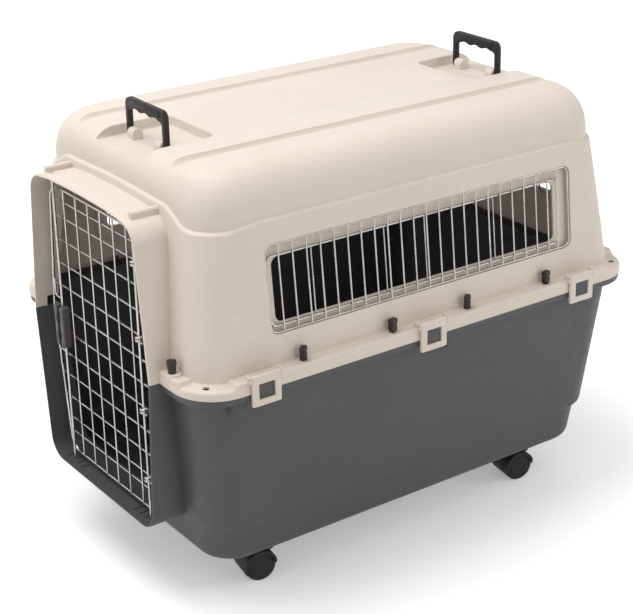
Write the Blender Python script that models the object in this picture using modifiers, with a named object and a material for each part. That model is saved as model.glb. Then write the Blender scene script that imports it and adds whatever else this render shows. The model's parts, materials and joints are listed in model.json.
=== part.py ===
"""Pet travel crate: two moulded shells, wire door with a sprung latch, wire window grilles,
folding handles, swing clips, wing bolts and twin wheel casters. Metres, +Z up, door towards -Y."""

import math

import bmesh
import bpy
from mathutils import Matrix, Vector

# Clearances, walls and the small allowances used throughout
GAP = 0.0004
WALL = 0.0034
OVERCUT = 0.020
WELD = 0.0006

# Body, measured on its outer faces; the front wall faces -Y
BODY_Y = 0.010
SPLIT_Z = 0.448
BODY_EXTRA_Y = 0.161
BELT_HALF_X = 0.3145
BELT_HALF_Y = BELT_HALF_X + BODY_EXTRA_Y
FRONT_WALL_Y = BODY_Y - BELT_HALF_Y
REAR_WALL_Y = BODY_Y + BELT_HALF_Y
FLANGE_RISE = 0.0145
FLANGE_TOP_Z = SPLIT_Z + FLANGE_RISE
BELT_CORNER_R = 0.064
WALL_START_RISE = 0.0175
WALL_START_Z = FLANGE_TOP_Z + WALL_START_RISE
WALL_FOOT = 0.003

# Upper shell: the crease, the shoulders above it and the roof
CREASE_Z = 0.721
SHOULDER_H = 0.090
ROOF_Z = CREASE_Z + SHOULDER_H
CREASE_STEP = 0.006
CREASE_SHRINK = 0.024
CREASE_HALF_X = BELT_HALF_X - CREASE_SHRINK
CREASE_CORNER_R = 0.078
LEDGE_DROP = 0.004
LEDGE_RISE = 0.003
LEDGE_TAPER = 0.002
SHOULDER_X = 0.072
SHOULDER_Y = 0.060
SHOULDER_POWER = 2.45
SHOULDER_STEPS = 5
ROOF_CORNER_R = 0.058

# How the crease dips at the corners and climbs to the snout at the front
CREASE_DIP = 0.008
DIP_START_SET = 0.1305
DIP_START_Y = BELT_HALF_Y - DIP_START_SET
DIP_END_SET = 0.0705
DIP_END_Y = BELT_HALF_Y - DIP_END_SET
CLIMB = 0.0305
CREASE_CROWN = 0.004
CREST_SHARES = (0.96, 0.88, 0.775, 0.40)

# Lower shell
TUB_TOP_DROP = 0.024
TUB_TOP_Z = SPLIT_Z - TUB_TOP_DROP
TUB_BASE_Z = 0.0825
TUB_STEP_RISE = 0.0835
TUB_STEP_Z = TUB_BASE_Z + TUB_STEP_RISE
TUB_STEP = 0.008
TUB_STEP_SHRINK = 0.023
TUB_STEP_HALF_X = BELT_HALF_X - TUB_STEP_SHRINK
TUB_STEP_CORNER_R_SET = 0.006
TUB_STEP_CORNER_R = BELT_CORNER_R + TUB_STEP_CORNER_R_SET
TUB_FOOT_SHRINK = 0.0165
TUB_FOOT_HALF_X = TUB_STEP_HALF_X - TUB_FOOT_SHRINK
TUB_FOOT_CORNER_R_SET = 0.004
TUB_FOOT_CORNER_R = TUB_STEP_CORNER_R - TUB_FOOT_CORNER_R_SET
TUB_FILLET = ((0.018, 0.0), (0.0085, 0.004), (0.0025, 0.011), (0.0, 0.0225))
TUB_RIM_GROW = 0.002
TUB_COVE = 0.004

# Belt flange shared by both shells, with raised bands along its straight runs
FLANGE_OUT_X = 0.0285
FLANGE_OUT_Y = 0.0245
FLANGE_HALF_X = BELT_HALF_X + FLANGE_OUT_X
FLANGE_HALF_Y = BELT_HALF_Y + FLANGE_OUT_Y
FLANGE_CORNER_R_SET = 0.018
FLANGE_CORNER_R = BELT_CORNER_R + FLANGE_CORNER_R_SET
FLANGE_ROUND = 0.006
BAND_RISE = 0.008
BAND_TOP_Z = FLANGE_TOP_Z + BAND_RISE
BAND_STOP = 0.070
BAND_SIDE_Y = (BODY_Y - FLANGE_HALF_Y + BAND_STOP, BODY_Y + FLANGE_HALF_Y - BAND_STOP)
BAND_END_SET_X = 0.066
BAND_END_X = FLANGE_HALF_X - BAND_END_SET_X
BAND_INSET = 0.0006
BAND_CORNER_R = 0.006
LIP_DEPTH = 0.014
LIP_INSET = 0.001
TIE_HOLE_SET_X = 0.037
TIE_HOLE_X = FLANGE_HALF_X - TIE_HOLE_SET_X
TIE_HOLE_SET = 0.0355
TIE_HOLE_Y = FLANGE_HALF_Y - TIE_HOLE_SET
TIE_HOLE_R = 0.0062
GUSSET_FIRST = 0.012
GUSSET_MIDDLE_Y = 0.052
GUSSET_LAST = 0.055
GUSSET_Y = (BAND_SIDE_Y[0] + GUSSET_FIRST, GUSSET_MIDDLE_Y, BAND_SIDE_Y[1] - GUSSET_LAST)
GUSSET_LENGTH = 0.022
GUSSET_GROW = 0.0155
GUSSET_HALF_X = BELT_HALF_X + GUSSET_GROW
GUSSET_BASE_DROP = 0.041
GUSSET_BASE_Z = SPLIT_Z - GUSSET_BASE_DROP
GUSSET_TUCK = 0.0015

# Snout round the door
SNOUT_OUT = 0.0445
SNOUT_FRONT_Y = FRONT_WALL_Y - SNOUT_OUT
SNOUT_BACK_SET = 0.0405
SNOUT_BACK_Y = FRONT_WALL_Y + SNOUT_BACK_SET
SNOUT_SHRINK = 0.0995
SNOUT_HALF_X = BELT_HALF_X - SNOUT_SHRINK
CLIMB_START_SET_X = 0.030
CLIMB_START_X = SNOUT_HALF_X + CLIMB_START_SET_X
CLIMB_END_SET_X = 0.050
CLIMB_END_X = SNOUT_HALF_X - CLIMB_END_SET_X
SNOUT_TOP_SHRINK = 0.025
SNOUT_TOP_HALF_X = SNOUT_HALF_X - SNOUT_TOP_SHRINK
SNOUT_TOP_RISE = 0.013
SNOUT_TOP_Z = CREASE_Z + SNOUT_TOP_RISE
SNOUT_CROWN_X = 0.070
SNOUT_CROWN_DROP = 0.0015
SNOUT_SHOULDER_DROP = 0.007
SNOUT_SHOULDER_Z = SNOUT_TOP_Z - SNOUT_SHOULDER_DROP
SNOUT_BASE_SHRINK = 0.020
SNOUT_BASE_HALF_X = SNOUT_HALF_X - SNOUT_BASE_SHRINK
SNOUT_BASE_RISE = 0.0665
SNOUT_BASE_Z = TUB_BASE_Z + SNOUT_BASE_RISE
SNOUT_R = 0.042
TUNNEL_BACK_SET = 0.0775
TUNNEL_BACK_Y = FRONT_WALL_Y + TUNNEL_BACK_SET
EAR_SET_X = 0.037
EAR_X = SNOUT_TOP_HALF_X - EAR_SET_X
EAR_HALF_W = 0.0055
EAR_FRONT_SET = 0.016
EAR_FRONT_Y = SNOUT_FRONT_Y + EAR_FRONT_SET
EAR_BACK_SET = 0.0455
EAR_BACK_Y = FRONT_WALL_Y + EAR_BACK_SET
EAR_TOP_RISE = 0.0045
EAR_TOP_Z = SNOUT_TOP_Z + EAR_TOP_RISE
EAR_HEIGHT = 0.0335
EAR_R = 0.0045
COMB_X = (0.100, 0.119, 0.138, 0.157)
COMB_W = 0.0040
COMB_LENGTH = 0.020
COMB_SET = 0.023
COMB_Y = SNOUT_FRONT_Y + COMB_SET
COMB_CLEAR = 0.009

# Side windows with their wire grilles
WINDOW_R = 0.014
RECESS_Y0_SET = 0.141
RECESS_Y0 = FRONT_WALL_Y + RECESS_Y0_SET
RECESS_Y1_SET = 0.124
RECESS_Y1 = REAR_WALL_Y - RECESS_Y1_SET
RECESS_Z0_RISE = 0.060
RECESS_Z0 = FLANGE_TOP_Z + RECESS_Z0_RISE
RECESS_Z1_DROP = 0.0405
RECESS_Z1 = CREASE_Z - RECESS_Z1_DROP
WINDOW_EDGE = (0.0185, 0.0335)
WINDOW_Y0 = RECESS_Y0 + WINDOW_EDGE[0]
WINDOW_Y1 = RECESS_Y1 - WINDOW_EDGE[1]
WINDOW_Z0_RISE = 0.017
WINDOW_Z0 = RECESS_Z0 + WINDOW_Z0_RISE
WINDOW_Z1_DROP = 0.027
WINDOW_Z1 = RECESS_Z1 - WINDOW_Z1_DROP
RECESS_R = 0.016
RECESS_DEPTH = 0.012
GRILLE_DEPTH = 0.0035
GRILLE_FRAME_R = 0.0019
GRILLE_CORNER_R = 0.014
BAR_COUNT = 22
BAR_FIRST_SET = 0.011
BAR_FIRST_Y = WINDOW_Y0 + BAR_FIRST_SET
BAR_LAST_SET = 0.0538
BAR_PITCH = (RECESS_Y1 - BAR_FIRST_Y - BAR_LAST_SET) / (BAR_COUNT - 1)
END_BAR_STEP = 0.8
BAR_R = 0.0015
RAIL_R = 0.0022
RAIL_OFFSET = 0.004
RAIL_REACH = (0.012, 0.004)

# Rear window
REAR_HALF_X = 0.150
REAR_Z1_DROP = 0.066
REAR_Z1 = CREASE_Z - REAR_Z1_DROP
REAR_H = 0.095
REAR_Z0 = REAR_Z1 - REAR_H
REAR_R = 0.012
REAR_BARS = 9
REAR_WIRE_R = 0.0016
REAR_LAP = 0.008

# Door, its hinge rod and its latch
ROD_SET = 0.021
ROD_Y = SNOUT_FRONT_Y + ROD_SET
ROD_R = 0.0026
ROD_PLAY = 0.0008
ROD_TOP_DROP = 0.0078
ROD_TOP_Z = SNOUT_TOP_Z - ROD_TOP_DROP
ROD_BASE_RISE = 0.0005
ROD_BASE_Z = SNOUT_BASE_Z + ROD_BASE_RISE
MAT_SET = 0.009
MAT_Y = ROD_Y + MAT_SET
MAT_WIRE_R = 0.0017
FRAME_R = 0.0027
DOOR_CORNER_R = 0.030
DOOR_TOP_DROP = 0.034
DOOR_TOP_Z = SNOUT_TOP_Z - DOOR_TOP_DROP
DOOR_BASE_RISE = 0.017
DOOR_BASE_Z = SNOUT_BASE_Z + DOOR_BASE_RISE
DOOR_TOP_SHRINK = 0.019
DOOR_TOP_HALF_X = SNOUT_TOP_HALF_X - DOOR_TOP_SHRINK
DOOR_MID_SHRINK = 0.023
DOOR_MID_HALF_X = SNOUT_HALF_X - DOOR_MID_SHRINK
DOOR_BASE_SHRINK = 0.031
DOOR_BASE_HALF_X = SNOUT_BASE_HALF_X - DOOR_BASE_SHRINK
HINGE_SET_X = 0.021
HINGE_X = DOOR_TOP_HALF_X - HINGE_SET_X
LATCH_SET_X = 0.0325
LATCH_X = LATCH_SET_X - DOOR_TOP_HALF_X
DOOR_COLUMN_SHARES = (-0.6626, -0.3936, -0.1298, 0.1298, 0.3936, 0.6626)
DOOR_COLUMNS = tuple(DOOR_TOP_HALF_X * share for share in DOOR_COLUMN_SHARES)
DOOR_ROW_SHARES = (
    0.073, 0.1273, 0.2097, 0.2959, 0.3801, 0.4663, 0.5524, 0.6367, 0.7228, 0.8109, 0.897, 0.9569,
)
DOOR_ROWS = tuple(DOOR_BASE_Z + (DOOR_TOP_Z - DOOR_BASE_Z) * share for share in DOOR_ROW_SHARES)
KNUCKLE_ROWS = (DOOR_ROWS[1], DOOR_ROWS[4], DOOR_ROWS[7], DOOR_ROWS[10])
KNUCKLE_R = 0.0080
KNUCKLE_HALF_H = 0.0080
HOUSING_Z0_DROP = 0.056
HOUSING_Z0 = SPLIT_Z - HOUSING_Z0_DROP
HOUSING_Z1_RISE = 0.080
HOUSING_Z1 = HOUSING_Z0 + HOUSING_Z1_RISE
HOUSING_HALF_X = 0.0165
HOUSING_FRONT = 0.0110
HOUSING_ROUND = 0.0025
CHANNEL_HALF_X = 0.0050
CHANNEL_BACK = 0.0034
THUMB_PROUD = 0.0035
THUMB_H = 0.0150
THUMB_ROUND = 0.0012
LATCH_TRAVEL = 0.009
LATCH_SLACK = 0.001
HOOK_W = 0.0240
HOOK_DEPTH = 0.0040
HOOK_LEG = 0.0300
HOOK_RISE = 0.0080
HOOK_R = 0.0020

# Handles, front and rear, which fold towards the middle of the roof
HANDLE_FRONT_SET = 0.1005
HANDLE_FRONT_Y = FRONT_WALL_Y + HANDLE_FRONT_SET
HANDLE_REAR_SET = 0.1025
HANDLE_REAR_Y = REAR_WALL_Y - HANDLE_REAR_SET
HANDLE_LEG_X = 0.0625
HANDLE_LEG_W = 0.0105
HANDLE_HALF_T = 0.0050
POCKET_FLOOR_DROP = 0.0195
POCKET_FLOOR_Z = ROOF_Z - POCKET_FLOOR_DROP
HANDLE_PIVOT_RISE = 0.009
HANDLE_PIVOT_Z = POCKET_FLOOR_Z + HANDLE_PIVOT_RISE
HANDLE_FOOT = 0.0062
HANDLE_TOP_RISE = 0.065
HANDLE_TOP_Z = HANDLE_PIVOT_Z + HANDLE_TOP_RISE
HANDLE_CORNER_R = 0.014
GRIP_H = 0.0210
GRIP_HALF_T = 0.0072
GRIP_ROUND = 0.0050
GRIP_INSET = 0.006
SCALLOPS = 3
SCALLOP_DEPTH = 0.0035
STUB_R = 0.0040
STUB_LENGTH = 0.0135
POCKET_GROW = 0.0215
POCKET_HALF_X = HANDLE_LEG_X + POCKET_GROW
POCKET_REACH = 0.088
POCKET_BEHIND = 0.075
POCKET_R = 0.020
LUG_R = 0.0105
LUG_W = 0.020

# Roof grooves
GROOVE_SET_X = 0.1515
GROOVE_X = BELT_HALF_X - GROOVE_SET_X
GROOVE_W = 0.026
GROOVE_R = 0.0078
GROOVE_FLOOR_DROP = 0.010
GROOVE_FLOOR_Z = ROOF_Z - GROOVE_FLOOR_DROP
GROOVE_SHRINK_Y = 0.0455
GROOVE_HALF_Y = BELT_HALF_Y - GROOVE_SHRINK_Y

# Clips on the belt
CLIP_FIRST = 0.058
CLIP_MIDDLE_Y = -0.004
CLIP_LAST = 0.084
CLIP_Y = (BAND_SIDE_Y[0] + CLIP_FIRST, CLIP_MIDDLE_Y, BAND_SIDE_Y[1] - CLIP_LAST)
CLIP_W = 0.058
CLIP_TOP_RISE = 0.010
CLIP_TOP_Z = BAND_TOP_Z + CLIP_TOP_RISE
CLIP_BASE_DROP = 0.0245
CLIP_BASE_Z = SPLIT_Z - CLIP_BASE_DROP
CLIP_T = 0.0070
CLIP_R = 0.0030
CLIP_PIN_X = 0.0035
CLIP_AXIS_DROP = 0.005
CLIP_AXIS_Z = CLIP_TOP_Z - CLIP_AXIS_DROP
CLIP_PIN_R = 0.0015
CHEEK_W = 0.0040
CHEEK_IN = 0.0100
CHEEK_OUT = 0.0065
CHEEK_DROP = 0.0135
CATCH_W = 0.030
CATCH_Z0_DROP = 0.011
CATCH_Z0 = SPLIT_Z - CATCH_Z0_DROP
CATCH_Z1_RISE = 0.015
CATCH_Z1 = SPLIT_Z + CATCH_Z1_RISE
CATCH_T = 0.0042
CATCH_EDGE = 0.0005
CATCH_PLAY = 0.0012

# Wing bolts
BOLT_SIDE_SET_X = 0.0165
BOLT_SIDE_X = FLANGE_HALF_X - BOLT_SIDE_SET_X
BOLT_FIRST = 0.148
BOLT_MIDDLE_Y = (-0.080, 0.091)
BOLT_LAST = 0.157
BOLT_SIDE_Y = (BAND_SIDE_Y[0] + BOLT_FIRST, *BOLT_MIDDLE_Y, BAND_SIDE_Y[1] - BOLT_LAST)
BOLT_END_SET_X = 0.037
BOLT_END_X = BAND_END_X - BOLT_END_SET_X
BOLT_FRONT_SET = 0.010
BOLT_FRONT_Y = BODY_Y - FLANGE_HALF_Y + BOLT_FRONT_SET
BOLT_REAR_SET = 0.0115
BOLT_REAR_Y = BODY_Y + FLANGE_HALF_Y - BOLT_REAR_SET
BOLT_SHANK_R = 0.0030
BOLT_BASE_DROP = 0.012
BOLT_BASE_Z = SPLIT_Z - BOLT_BASE_DROP
BOLT_HUB_R = 0.0072
BOLT_HUB_H = 0.0110
WING_HALF_X = 0.0082
WING_HALF_Y = 0.0060
WING_START = 0.0050
WING_H = 0.0235
SIDE_STANDOFF = 0.0018
PAD_R = 0.0150
PAD_SHIFT = 0.0035
PAD_H = 0.0035
PAD_ROOT = 0.0100

# Casters
CASTER_SET_X = 0.0604
CASTER_X = TUB_FOOT_HALF_X - CASTER_SET_X
CASTER_FRONT_SET = 0.1417
CASTER_FRONT_Y = BODY_Y - TUB_FOOT_HALF_X - BODY_EXTRA_Y + CASTER_FRONT_SET
CASTER_REAR_SET_X = 0.059
CASTER_REAR_X = TUB_FOOT_HALF_X - CASTER_REAR_SET_X
CASTER_REAR_SET = 0.1015
CASTER_REAR_Y = BODY_Y + TUB_FOOT_HALF_X + BODY_EXTRA_Y - CASTER_REAR_SET
CASTER_TURN = {"front": -10.0, "rear": -9.0}
TRAIL = 0.026
WHEEL_R = 0.030
WHEEL_W = 0.018
WHEEL_SPACE = 0.020
WHEEL_CHAMFER = 0.0060
TREAD_ROUND = 0.0020
HUB_BULGE = 0.0010
AXLE_R = 0.0035
AXLE_LAP = 0.004
HOOD_GROW = 0.0030
COVER_OUT = 0.0030
COVER_IN = 0.0010
COVER_START = 5
COVER_END = 205
COVER_SHARE = 1.0
BOSS_R = 0.0092
BOSS_BASE_Z = 0.0520
PLATE_BASE_DROP = 0.0069
PLATE_BASE_Z = TUB_BASE_Z - PLATE_BASE_DROP
PLATE_R = 0.0215
PLATE_ROUND = 0.0010
STEM_R = 0.0040
STEM_BASE_Z = 0.0540
STEM_ROOT_R = 0.0055
STEM_ROOT_H = 0.014
SWIVEL_Z = 0.0550

# Numbers of sides: thin wires, latch rods, bores, turned pieces
WIRE_SIDES = 6
ROD_SIDES = 10
BORE_SIDES = 12
PIN_SIDES = 8
WHEEL_SIDES = 20

MATERIALS = {
    "beige_plastic": ((0.58, 0.51, 0.43, 1.0), 0.0, 0.42),
    "grey_plastic": ((0.095, 0.098, 0.105, 1.0), 0.0, 0.48),
    "dark_plastic": ((0.013, 0.013, 0.014, 1.0), 0.0, 0.40),
    "brown_plastic": ((0.030, 0.021, 0.018, 1.0), 0.0, 0.50),
    "latch_plastic": ((0.11, 0.10, 0.12, 1.0), 0.0, 0.45),
    "chrome_wire": ((0.78, 0.78, 0.78, 1.0), 1.0, 0.18),
    "wheel_rubber": ((0.018, 0.018, 0.018, 1.0), 0.0, 0.65),
}

# Frames that stand a flat outline up: its two axes, then the axis that it is extruded along
FLAT = Matrix.Identity(4)
FACING_X = Matrix(((0, 0, 1, 0), (1, 0, 0, 0), (0, 1, 0, 0), (0, 0, 0, 1)))
FACING_Y = Matrix(((1, 0, 0, 0), (0, 0, 1, 0), (0, 1, 0, 0), (0, 0, 0, 1)))


def clear_scene():
    for obj in list(bpy.data.objects):
        bpy.data.objects.remove(obj, do_unlink=True)


def collection_named(name, hidden=False):
    made = bpy.data.collections.get(name)
    if made is None:
        made = bpy.data.collections.new(name)
        made.hide_render = hidden
        bpy.context.scene.collection.children.link(made)
    return made


def material_for(name, slot):
    """A Principled material of its own for one piece."""
    color, metallic, roughness = MATERIALS[slot]
    made = bpy.data.materials.new(f"{name}_{slot}")
    made.use_nodes = True
    shader = made.node_tree.nodes["Principled BSDF"]
    shader.inputs["Base Color"].default_value = color
    shader.inputs["Metallic"].default_value = metallic
    shader.inputs["Roughness"].default_value = roughness
    made.diffuse_color = color
    return made


def smooth_by_angle(mesh, degrees=35.0):
    """Shades round faces smooth and keeps edges sharper than the angle crisp."""
    work = bmesh.new()
    work.from_mesh(mesh)
    for face in work.faces:
        face.smooth = True
    for edge in work.edges:
        if len(edge.link_faces) == 2:
            edge.smooth = edge.calc_face_angle(0.0) < math.radians(degrees)
    work.to_mesh(mesh)
    work.free()


def object_from(work, name):
    """Puts a bmesh into an object that isn't in a collection yet."""
    bmesh.ops.recalc_face_normals(work, faces=work.faces)
    mesh = bpy.data.meshes.new(name)
    work.to_mesh(mesh)
    work.free()
    return bpy.data.objects.new(name, mesh)


def place_piece(obj, slot):
    """Files a finished piece in a collection of its own, with its material."""
    obj.data.materials.clear()
    obj.data.materials.append(material_for(obj.name, slot))
    smooth_by_angle(obj.data)
    home = bpy.data.collections.new(obj.name)
    collection_named("pet_travel_crate").children.link(home)
    home.objects.link(obj)
    return obj


def boolean(obj, tool, operation):
    """Cuts or joins a tool, which waits among the cutters."""
    if not tool.users_collection:
        collection_named("cutters", hidden=True).objects.link(tool)
    tool.hide_render = True
    tool.display_type = "WIRE"
    added = obj.modifiers.new(tool.name, "BOOLEAN")
    added.operation = operation
    added.solver = "EXACT"
    added.object = tool


def cut(obj, *tools):
    for tool in tools:
        boolean(obj, tool, "DIFFERENCE")


def join(obj, *tools):
    for tool in tools:
        boolean(obj, tool, "UNION")


def settle(obj):
    """Gives an object its evaluated mesh, so that its origin can be moved and its tools removed."""
    cutters = collection_named("cutters", hidden=True)
    cutters.objects.link(obj)
    tools = [step.object for step in obj.modifiers if step.type == "BOOLEAN"]
    bpy.context.view_layer.update()
    graph = bpy.context.evaluated_depsgraph_get()
    mesh = bpy.data.meshes.new_from_object(obj.evaluated_get(graph))
    obj.modifiers.clear()
    obj.data = mesh
    mesh.name = obj.name
    cutters.objects.unlink(obj)
    for tool in tools:
        bpy.data.objects.remove(tool, do_unlink=True)
    return obj


def set_origin(obj, point):
    """Moves the origin to a joint axis and leaves the shape where it is."""
    offset = Vector(point)
    obj.data.transform(Matrix.Translation(-offset))
    obj.location = offset
    return obj


def span(a, b):
    return min(a, b), max(a, b)


def box(name, low, high, bevel=0.0, segments=2):
    work = bmesh.new()
    size = [high[i] - low[i] for i in range(3)]
    middle = [(high[i] + low[i]) / 2 for i in range(3)]
    bmesh.ops.create_cube(work, size=1.0)
    bmesh.ops.scale(work, vec=size, verts=work.verts)
    bmesh.ops.translate(work, vec=middle, verts=work.verts)
    if bevel > 0:
        bmesh.ops.bevel(work, geom=work.edges, offset=bevel, segments=segments, affect="EDGES", profile=0.5)
    return object_from(work, name)


def add_rod(work, start, end, radius, sides=WIRE_SIDES, turn=0.0):
    """Adds one straight rod with capped ends to a bmesh."""
    start = Vector(start)
    end = Vector(end)
    along = end - start
    spin = Matrix.Rotation(math.radians(turn), 4, "Z")
    aim = along.to_track_quat("Z", "Y").to_matrix().to_4x4()
    frame = Matrix.Translation((start + end) / 2) @ aim @ spin
    bmesh.ops.create_cone(
        work, cap_ends=True, segments=sides, radius1=radius, radius2=radius, depth=along.length, matrix=frame
    )


def rod(name, start, end, radius, sides=WIRE_SIDES, turn=0.0):
    work = bmesh.new()
    add_rod(work, start, end, radius, sides, turn)
    return object_from(work, name)


def turned(name, profile, origin, axis=(0, 0, 1), steps=24):
    """A turned shape: a profile of (radius, height) points, top to bottom, swept by a Screw modifier."""
    mesh = bpy.data.meshes.new(name)
    edges = [(i, i + 1) for i in range(len(profile) - 1)]
    mesh.from_pydata([(radius, 0.0, height) for radius, height in profile], edges, [])
    made = bpy.data.objects.new(name, mesh)
    screw = made.modifiers.new("turn", "SCREW")
    screw.axis = "Z"
    screw.angle = 2 * math.pi
    screw.steps = steps
    screw.render_steps = steps
    screw.use_merge_vertices = True
    screw.merge_threshold = 0.00005
    settle(made)
    aim = Vector(axis).to_track_quat("Z", "Y").to_matrix().to_4x4()
    made.data.transform(Matrix.Translation(origin) @ aim)
    work = bmesh.new()
    work.from_mesh(made.data)
    bpy.data.objects.remove(made, do_unlink=True)
    return object_from(work, name)


def curve_mesh(name, curve, frame):
    """Turns a curve into a welded mesh in a frame."""
    made = bpy.data.objects.new(f"{name}_curve", curve)
    collection_named("cutters", hidden=True).objects.link(made)
    bpy.context.view_layer.update()
    graph = bpy.context.evaluated_depsgraph_get()
    mesh = bpy.data.meshes.new_from_object(made.evaluated_get(graph))
    bpy.data.objects.remove(made, do_unlink=True)
    bpy.data.curves.remove(curve)
    work = bmesh.new()
    work.from_mesh(mesh)
    bpy.data.meshes.remove(mesh)
    bmesh.ops.remove_doubles(work, verts=work.verts, dist=1e-6)
    bmesh.ops.transform(work, matrix=frame, verts=work.verts)
    return object_from(work, name)


def line_curve(name, points, cyclic):
    curve = bpy.data.curves.new(name, "CURVE")
    spline = curve.splines.new("POLY")
    spline.points.add(len(points) - 1)
    for point, place in zip(spline.points, points):
        point.co = (*place, 1.0)
    spline.use_cyclic_u = cyclic
    return curve


def wire(name, points, radius, cyclic=False):
    """A bent wire: a round curve with capped ends."""
    curve = line_curve(name, points, cyclic)
    curve.dimensions = "3D"
    curve.bevel_depth = radius
    curve.bevel_resolution = 1
    curve.use_fill_caps = not cyclic
    return curve_mesh(name, curve, FLAT)


def plate(name, outline, frame, low, high):
    """A flat outline, filled, and extruded between two levels of its frame's third axis."""
    curve = line_curve(name, [(u, v, 0.0) for u, v in outline], True)
    curve.dimensions = "2D"
    curve.fill_mode = "BOTH"
    curve.extrude = abs(high - low) / 2
    return curve_mesh(name, curve, frame @ Matrix.Translation((0, 0, (low + high) / 2)))


def arc(cu, cv, radius, start, end, segments):
    points = []
    for i in range(segments + 1):
        angle = math.radians(start + (end - start) * i / segments)
        points.append((cu + radius * math.cos(angle), cv + radius * math.sin(angle)))
    return points


def rounded(low, high, radius, segments=3):
    """A rounded rectangle between two (u, v) corners."""
    u0, v0 = low[0] + radius, low[1] + radius
    u1, v1 = high[0] - radius, high[1] - radius
    points = []
    for quarter, (cu, cv) in enumerate(((u1, v1), (u0, v1), (u0, v0), (u1, v0))):
        points += arc(cu, cv, radius, 90 * quarter, 90 * quarter + 90, segments)
    return points


def smooth_step(value, start, end):
    part = max(0.0, min(1.0, (value - start) / (end - start)))
    return part * part * (3 - 2 * part)


def ring_loop(half_x, half_y, radius, z, segments=6, lift=None):
    """A rounded rectangle about the body's middle at one height, with extra points across the front."""
    outline = rounded((-half_x, -half_y), (half_x, half_y), radius, segments)
    front = 3 * (segments + 1)
    reach = half_x - radius
    shares = [-share for share in CREST_SHARES] + list(reversed(CREST_SHARES))
    outline[front:front] = [(reach * share, -half_y) for share in shares]
    loop = []
    for x, v in outline:
        y = BODY_Y + v
        loop.append((x, y, z + (lift(x, y) if lift else 0.0)))
    return loop


def loft(name, loops):
    """A closed solid through unlike sections that hold the same number of points."""
    work = bmesh.new()
    rings = [[work.verts.new(p) for p in loop] for loop in loops]
    count = len(rings[0])
    for low, high in zip(rings, rings[1:]):
        for i in range(count):
            j = (i + 1) % count
            work.faces.new((low[i], low[j], high[j], high[i]))
    work.faces.new(list(reversed(rings[0])))
    work.faces.new(rings[-1])
    return object_from(work, name)


def side_name(side):
    return "right" if side > 0 else "left"


def crease_lift(x, y):
    """How far the crease runs above its height on the sides: lower at both ends, higher at the snout."""
    dip = CREASE_DIP * smooth_step(abs(y - BODY_Y), DIP_START_Y, DIP_END_Y)
    if y > BODY_Y:
        return -dip
    climb = CLIMB * smooth_step(abs(x), CLIMB_START_X, CLIMB_END_X)
    crown = CREASE_CROWN * smooth_step(abs(x), CLIMB_END_X, 0.0)
    return climb + crown - dip


def share_of_lift(share):
    return lambda x, y: share * crease_lift(x, y)


def body_half_y(half_x, z):
    """The body is longer than it's wide by a fixed amount, and less so on the shoulders."""
    rise = max(0.0, min(1.0, (z - CREASE_Z) / (ROOF_Z - CREASE_Z)))
    fall = 1 - (1 - rise**SHOULDER_POWER) ** (1 / SHOULDER_POWER)
    return half_x + BODY_EXTRA_Y + (SHOULDER_X - SHOULDER_Y) * fall


def wall_loops(inset):
    """The upper shell's wall from the belt to the roof."""
    rows = [
        (BELT_HALF_X - inset, BELT_CORNER_R - inset, WALL_START_Z, 0.0),
        (CREASE_HALF_X - inset, CREASE_CORNER_R - inset, CREASE_Z - LEDGE_DROP, 1.0),
        (CREASE_HALF_X - LEDGE_TAPER - inset, CREASE_CORNER_R - inset, CREASE_Z, 1.0),
    ]
    wall = CREASE_HALF_X - CREASE_STEP
    start = CREASE_Z + LEDGE_RISE
    corner_fall = CREASE_CORNER_R - LEDGE_TAPER - ROOF_CORNER_R
    for i in range(SHOULDER_STEPS + 1):
        angle = math.radians(90 * i / SHOULDER_STEPS)
        out = max(math.cos(angle), 0.0) ** (2 / SHOULDER_POWER)
        rise = math.sin(angle) ** (2 / SHOULDER_POWER)
        half_x = wall - SHOULDER_X * (1 - out) - inset * math.cos(angle)
        z = start + (ROOF_Z - start) * rise - inset * math.sin(angle)
        rows.append((half_x, ROOF_CORNER_R + corner_fall * out - inset / 2, z, 1 - rise))
    return [
        ring_loop(half_x, body_half_y(half_x, z), corner, z, lift=share_of_lift(share))
        for half_x, corner, z, share in rows
    ]


def flange_loop(inset, z):
    return ring_loop(FLANGE_HALF_X - inset, FLANGE_HALF_Y - inset, FLANGE_CORNER_R - inset, z)


def belt_loop(grow, z):
    return ring_loop(BELT_HALF_X + grow, BELT_HALF_X + BODY_EXTRA_Y + grow, BELT_CORNER_R + grow, z)


def upper_body(name, inset, low_z):
    """The upper shell's solid form, or with an inset the room inside it."""
    loops = [flange_loop(inset, low_z)]
    if inset == 0:
        loops.append(flange_loop(0.0, FLANGE_TOP_Z - FLANGE_ROUND))
        loops.append(flange_loop(FLANGE_ROUND / 3, FLANGE_TOP_Z - FLANGE_ROUND / 3))
        loops.append(flange_loop(FLANGE_ROUND, FLANGE_TOP_Z))
        loops.append(belt_loop(WALL_FOOT, FLANGE_TOP_Z + WALL_FOOT / 2))
    else:
        loops.append(flange_loop(inset, FLANGE_TOP_Z - inset))
        loops.append(belt_loop(-inset, FLANGE_TOP_Z - inset))
    return loft(name, loops + wall_loops(inset))


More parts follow.
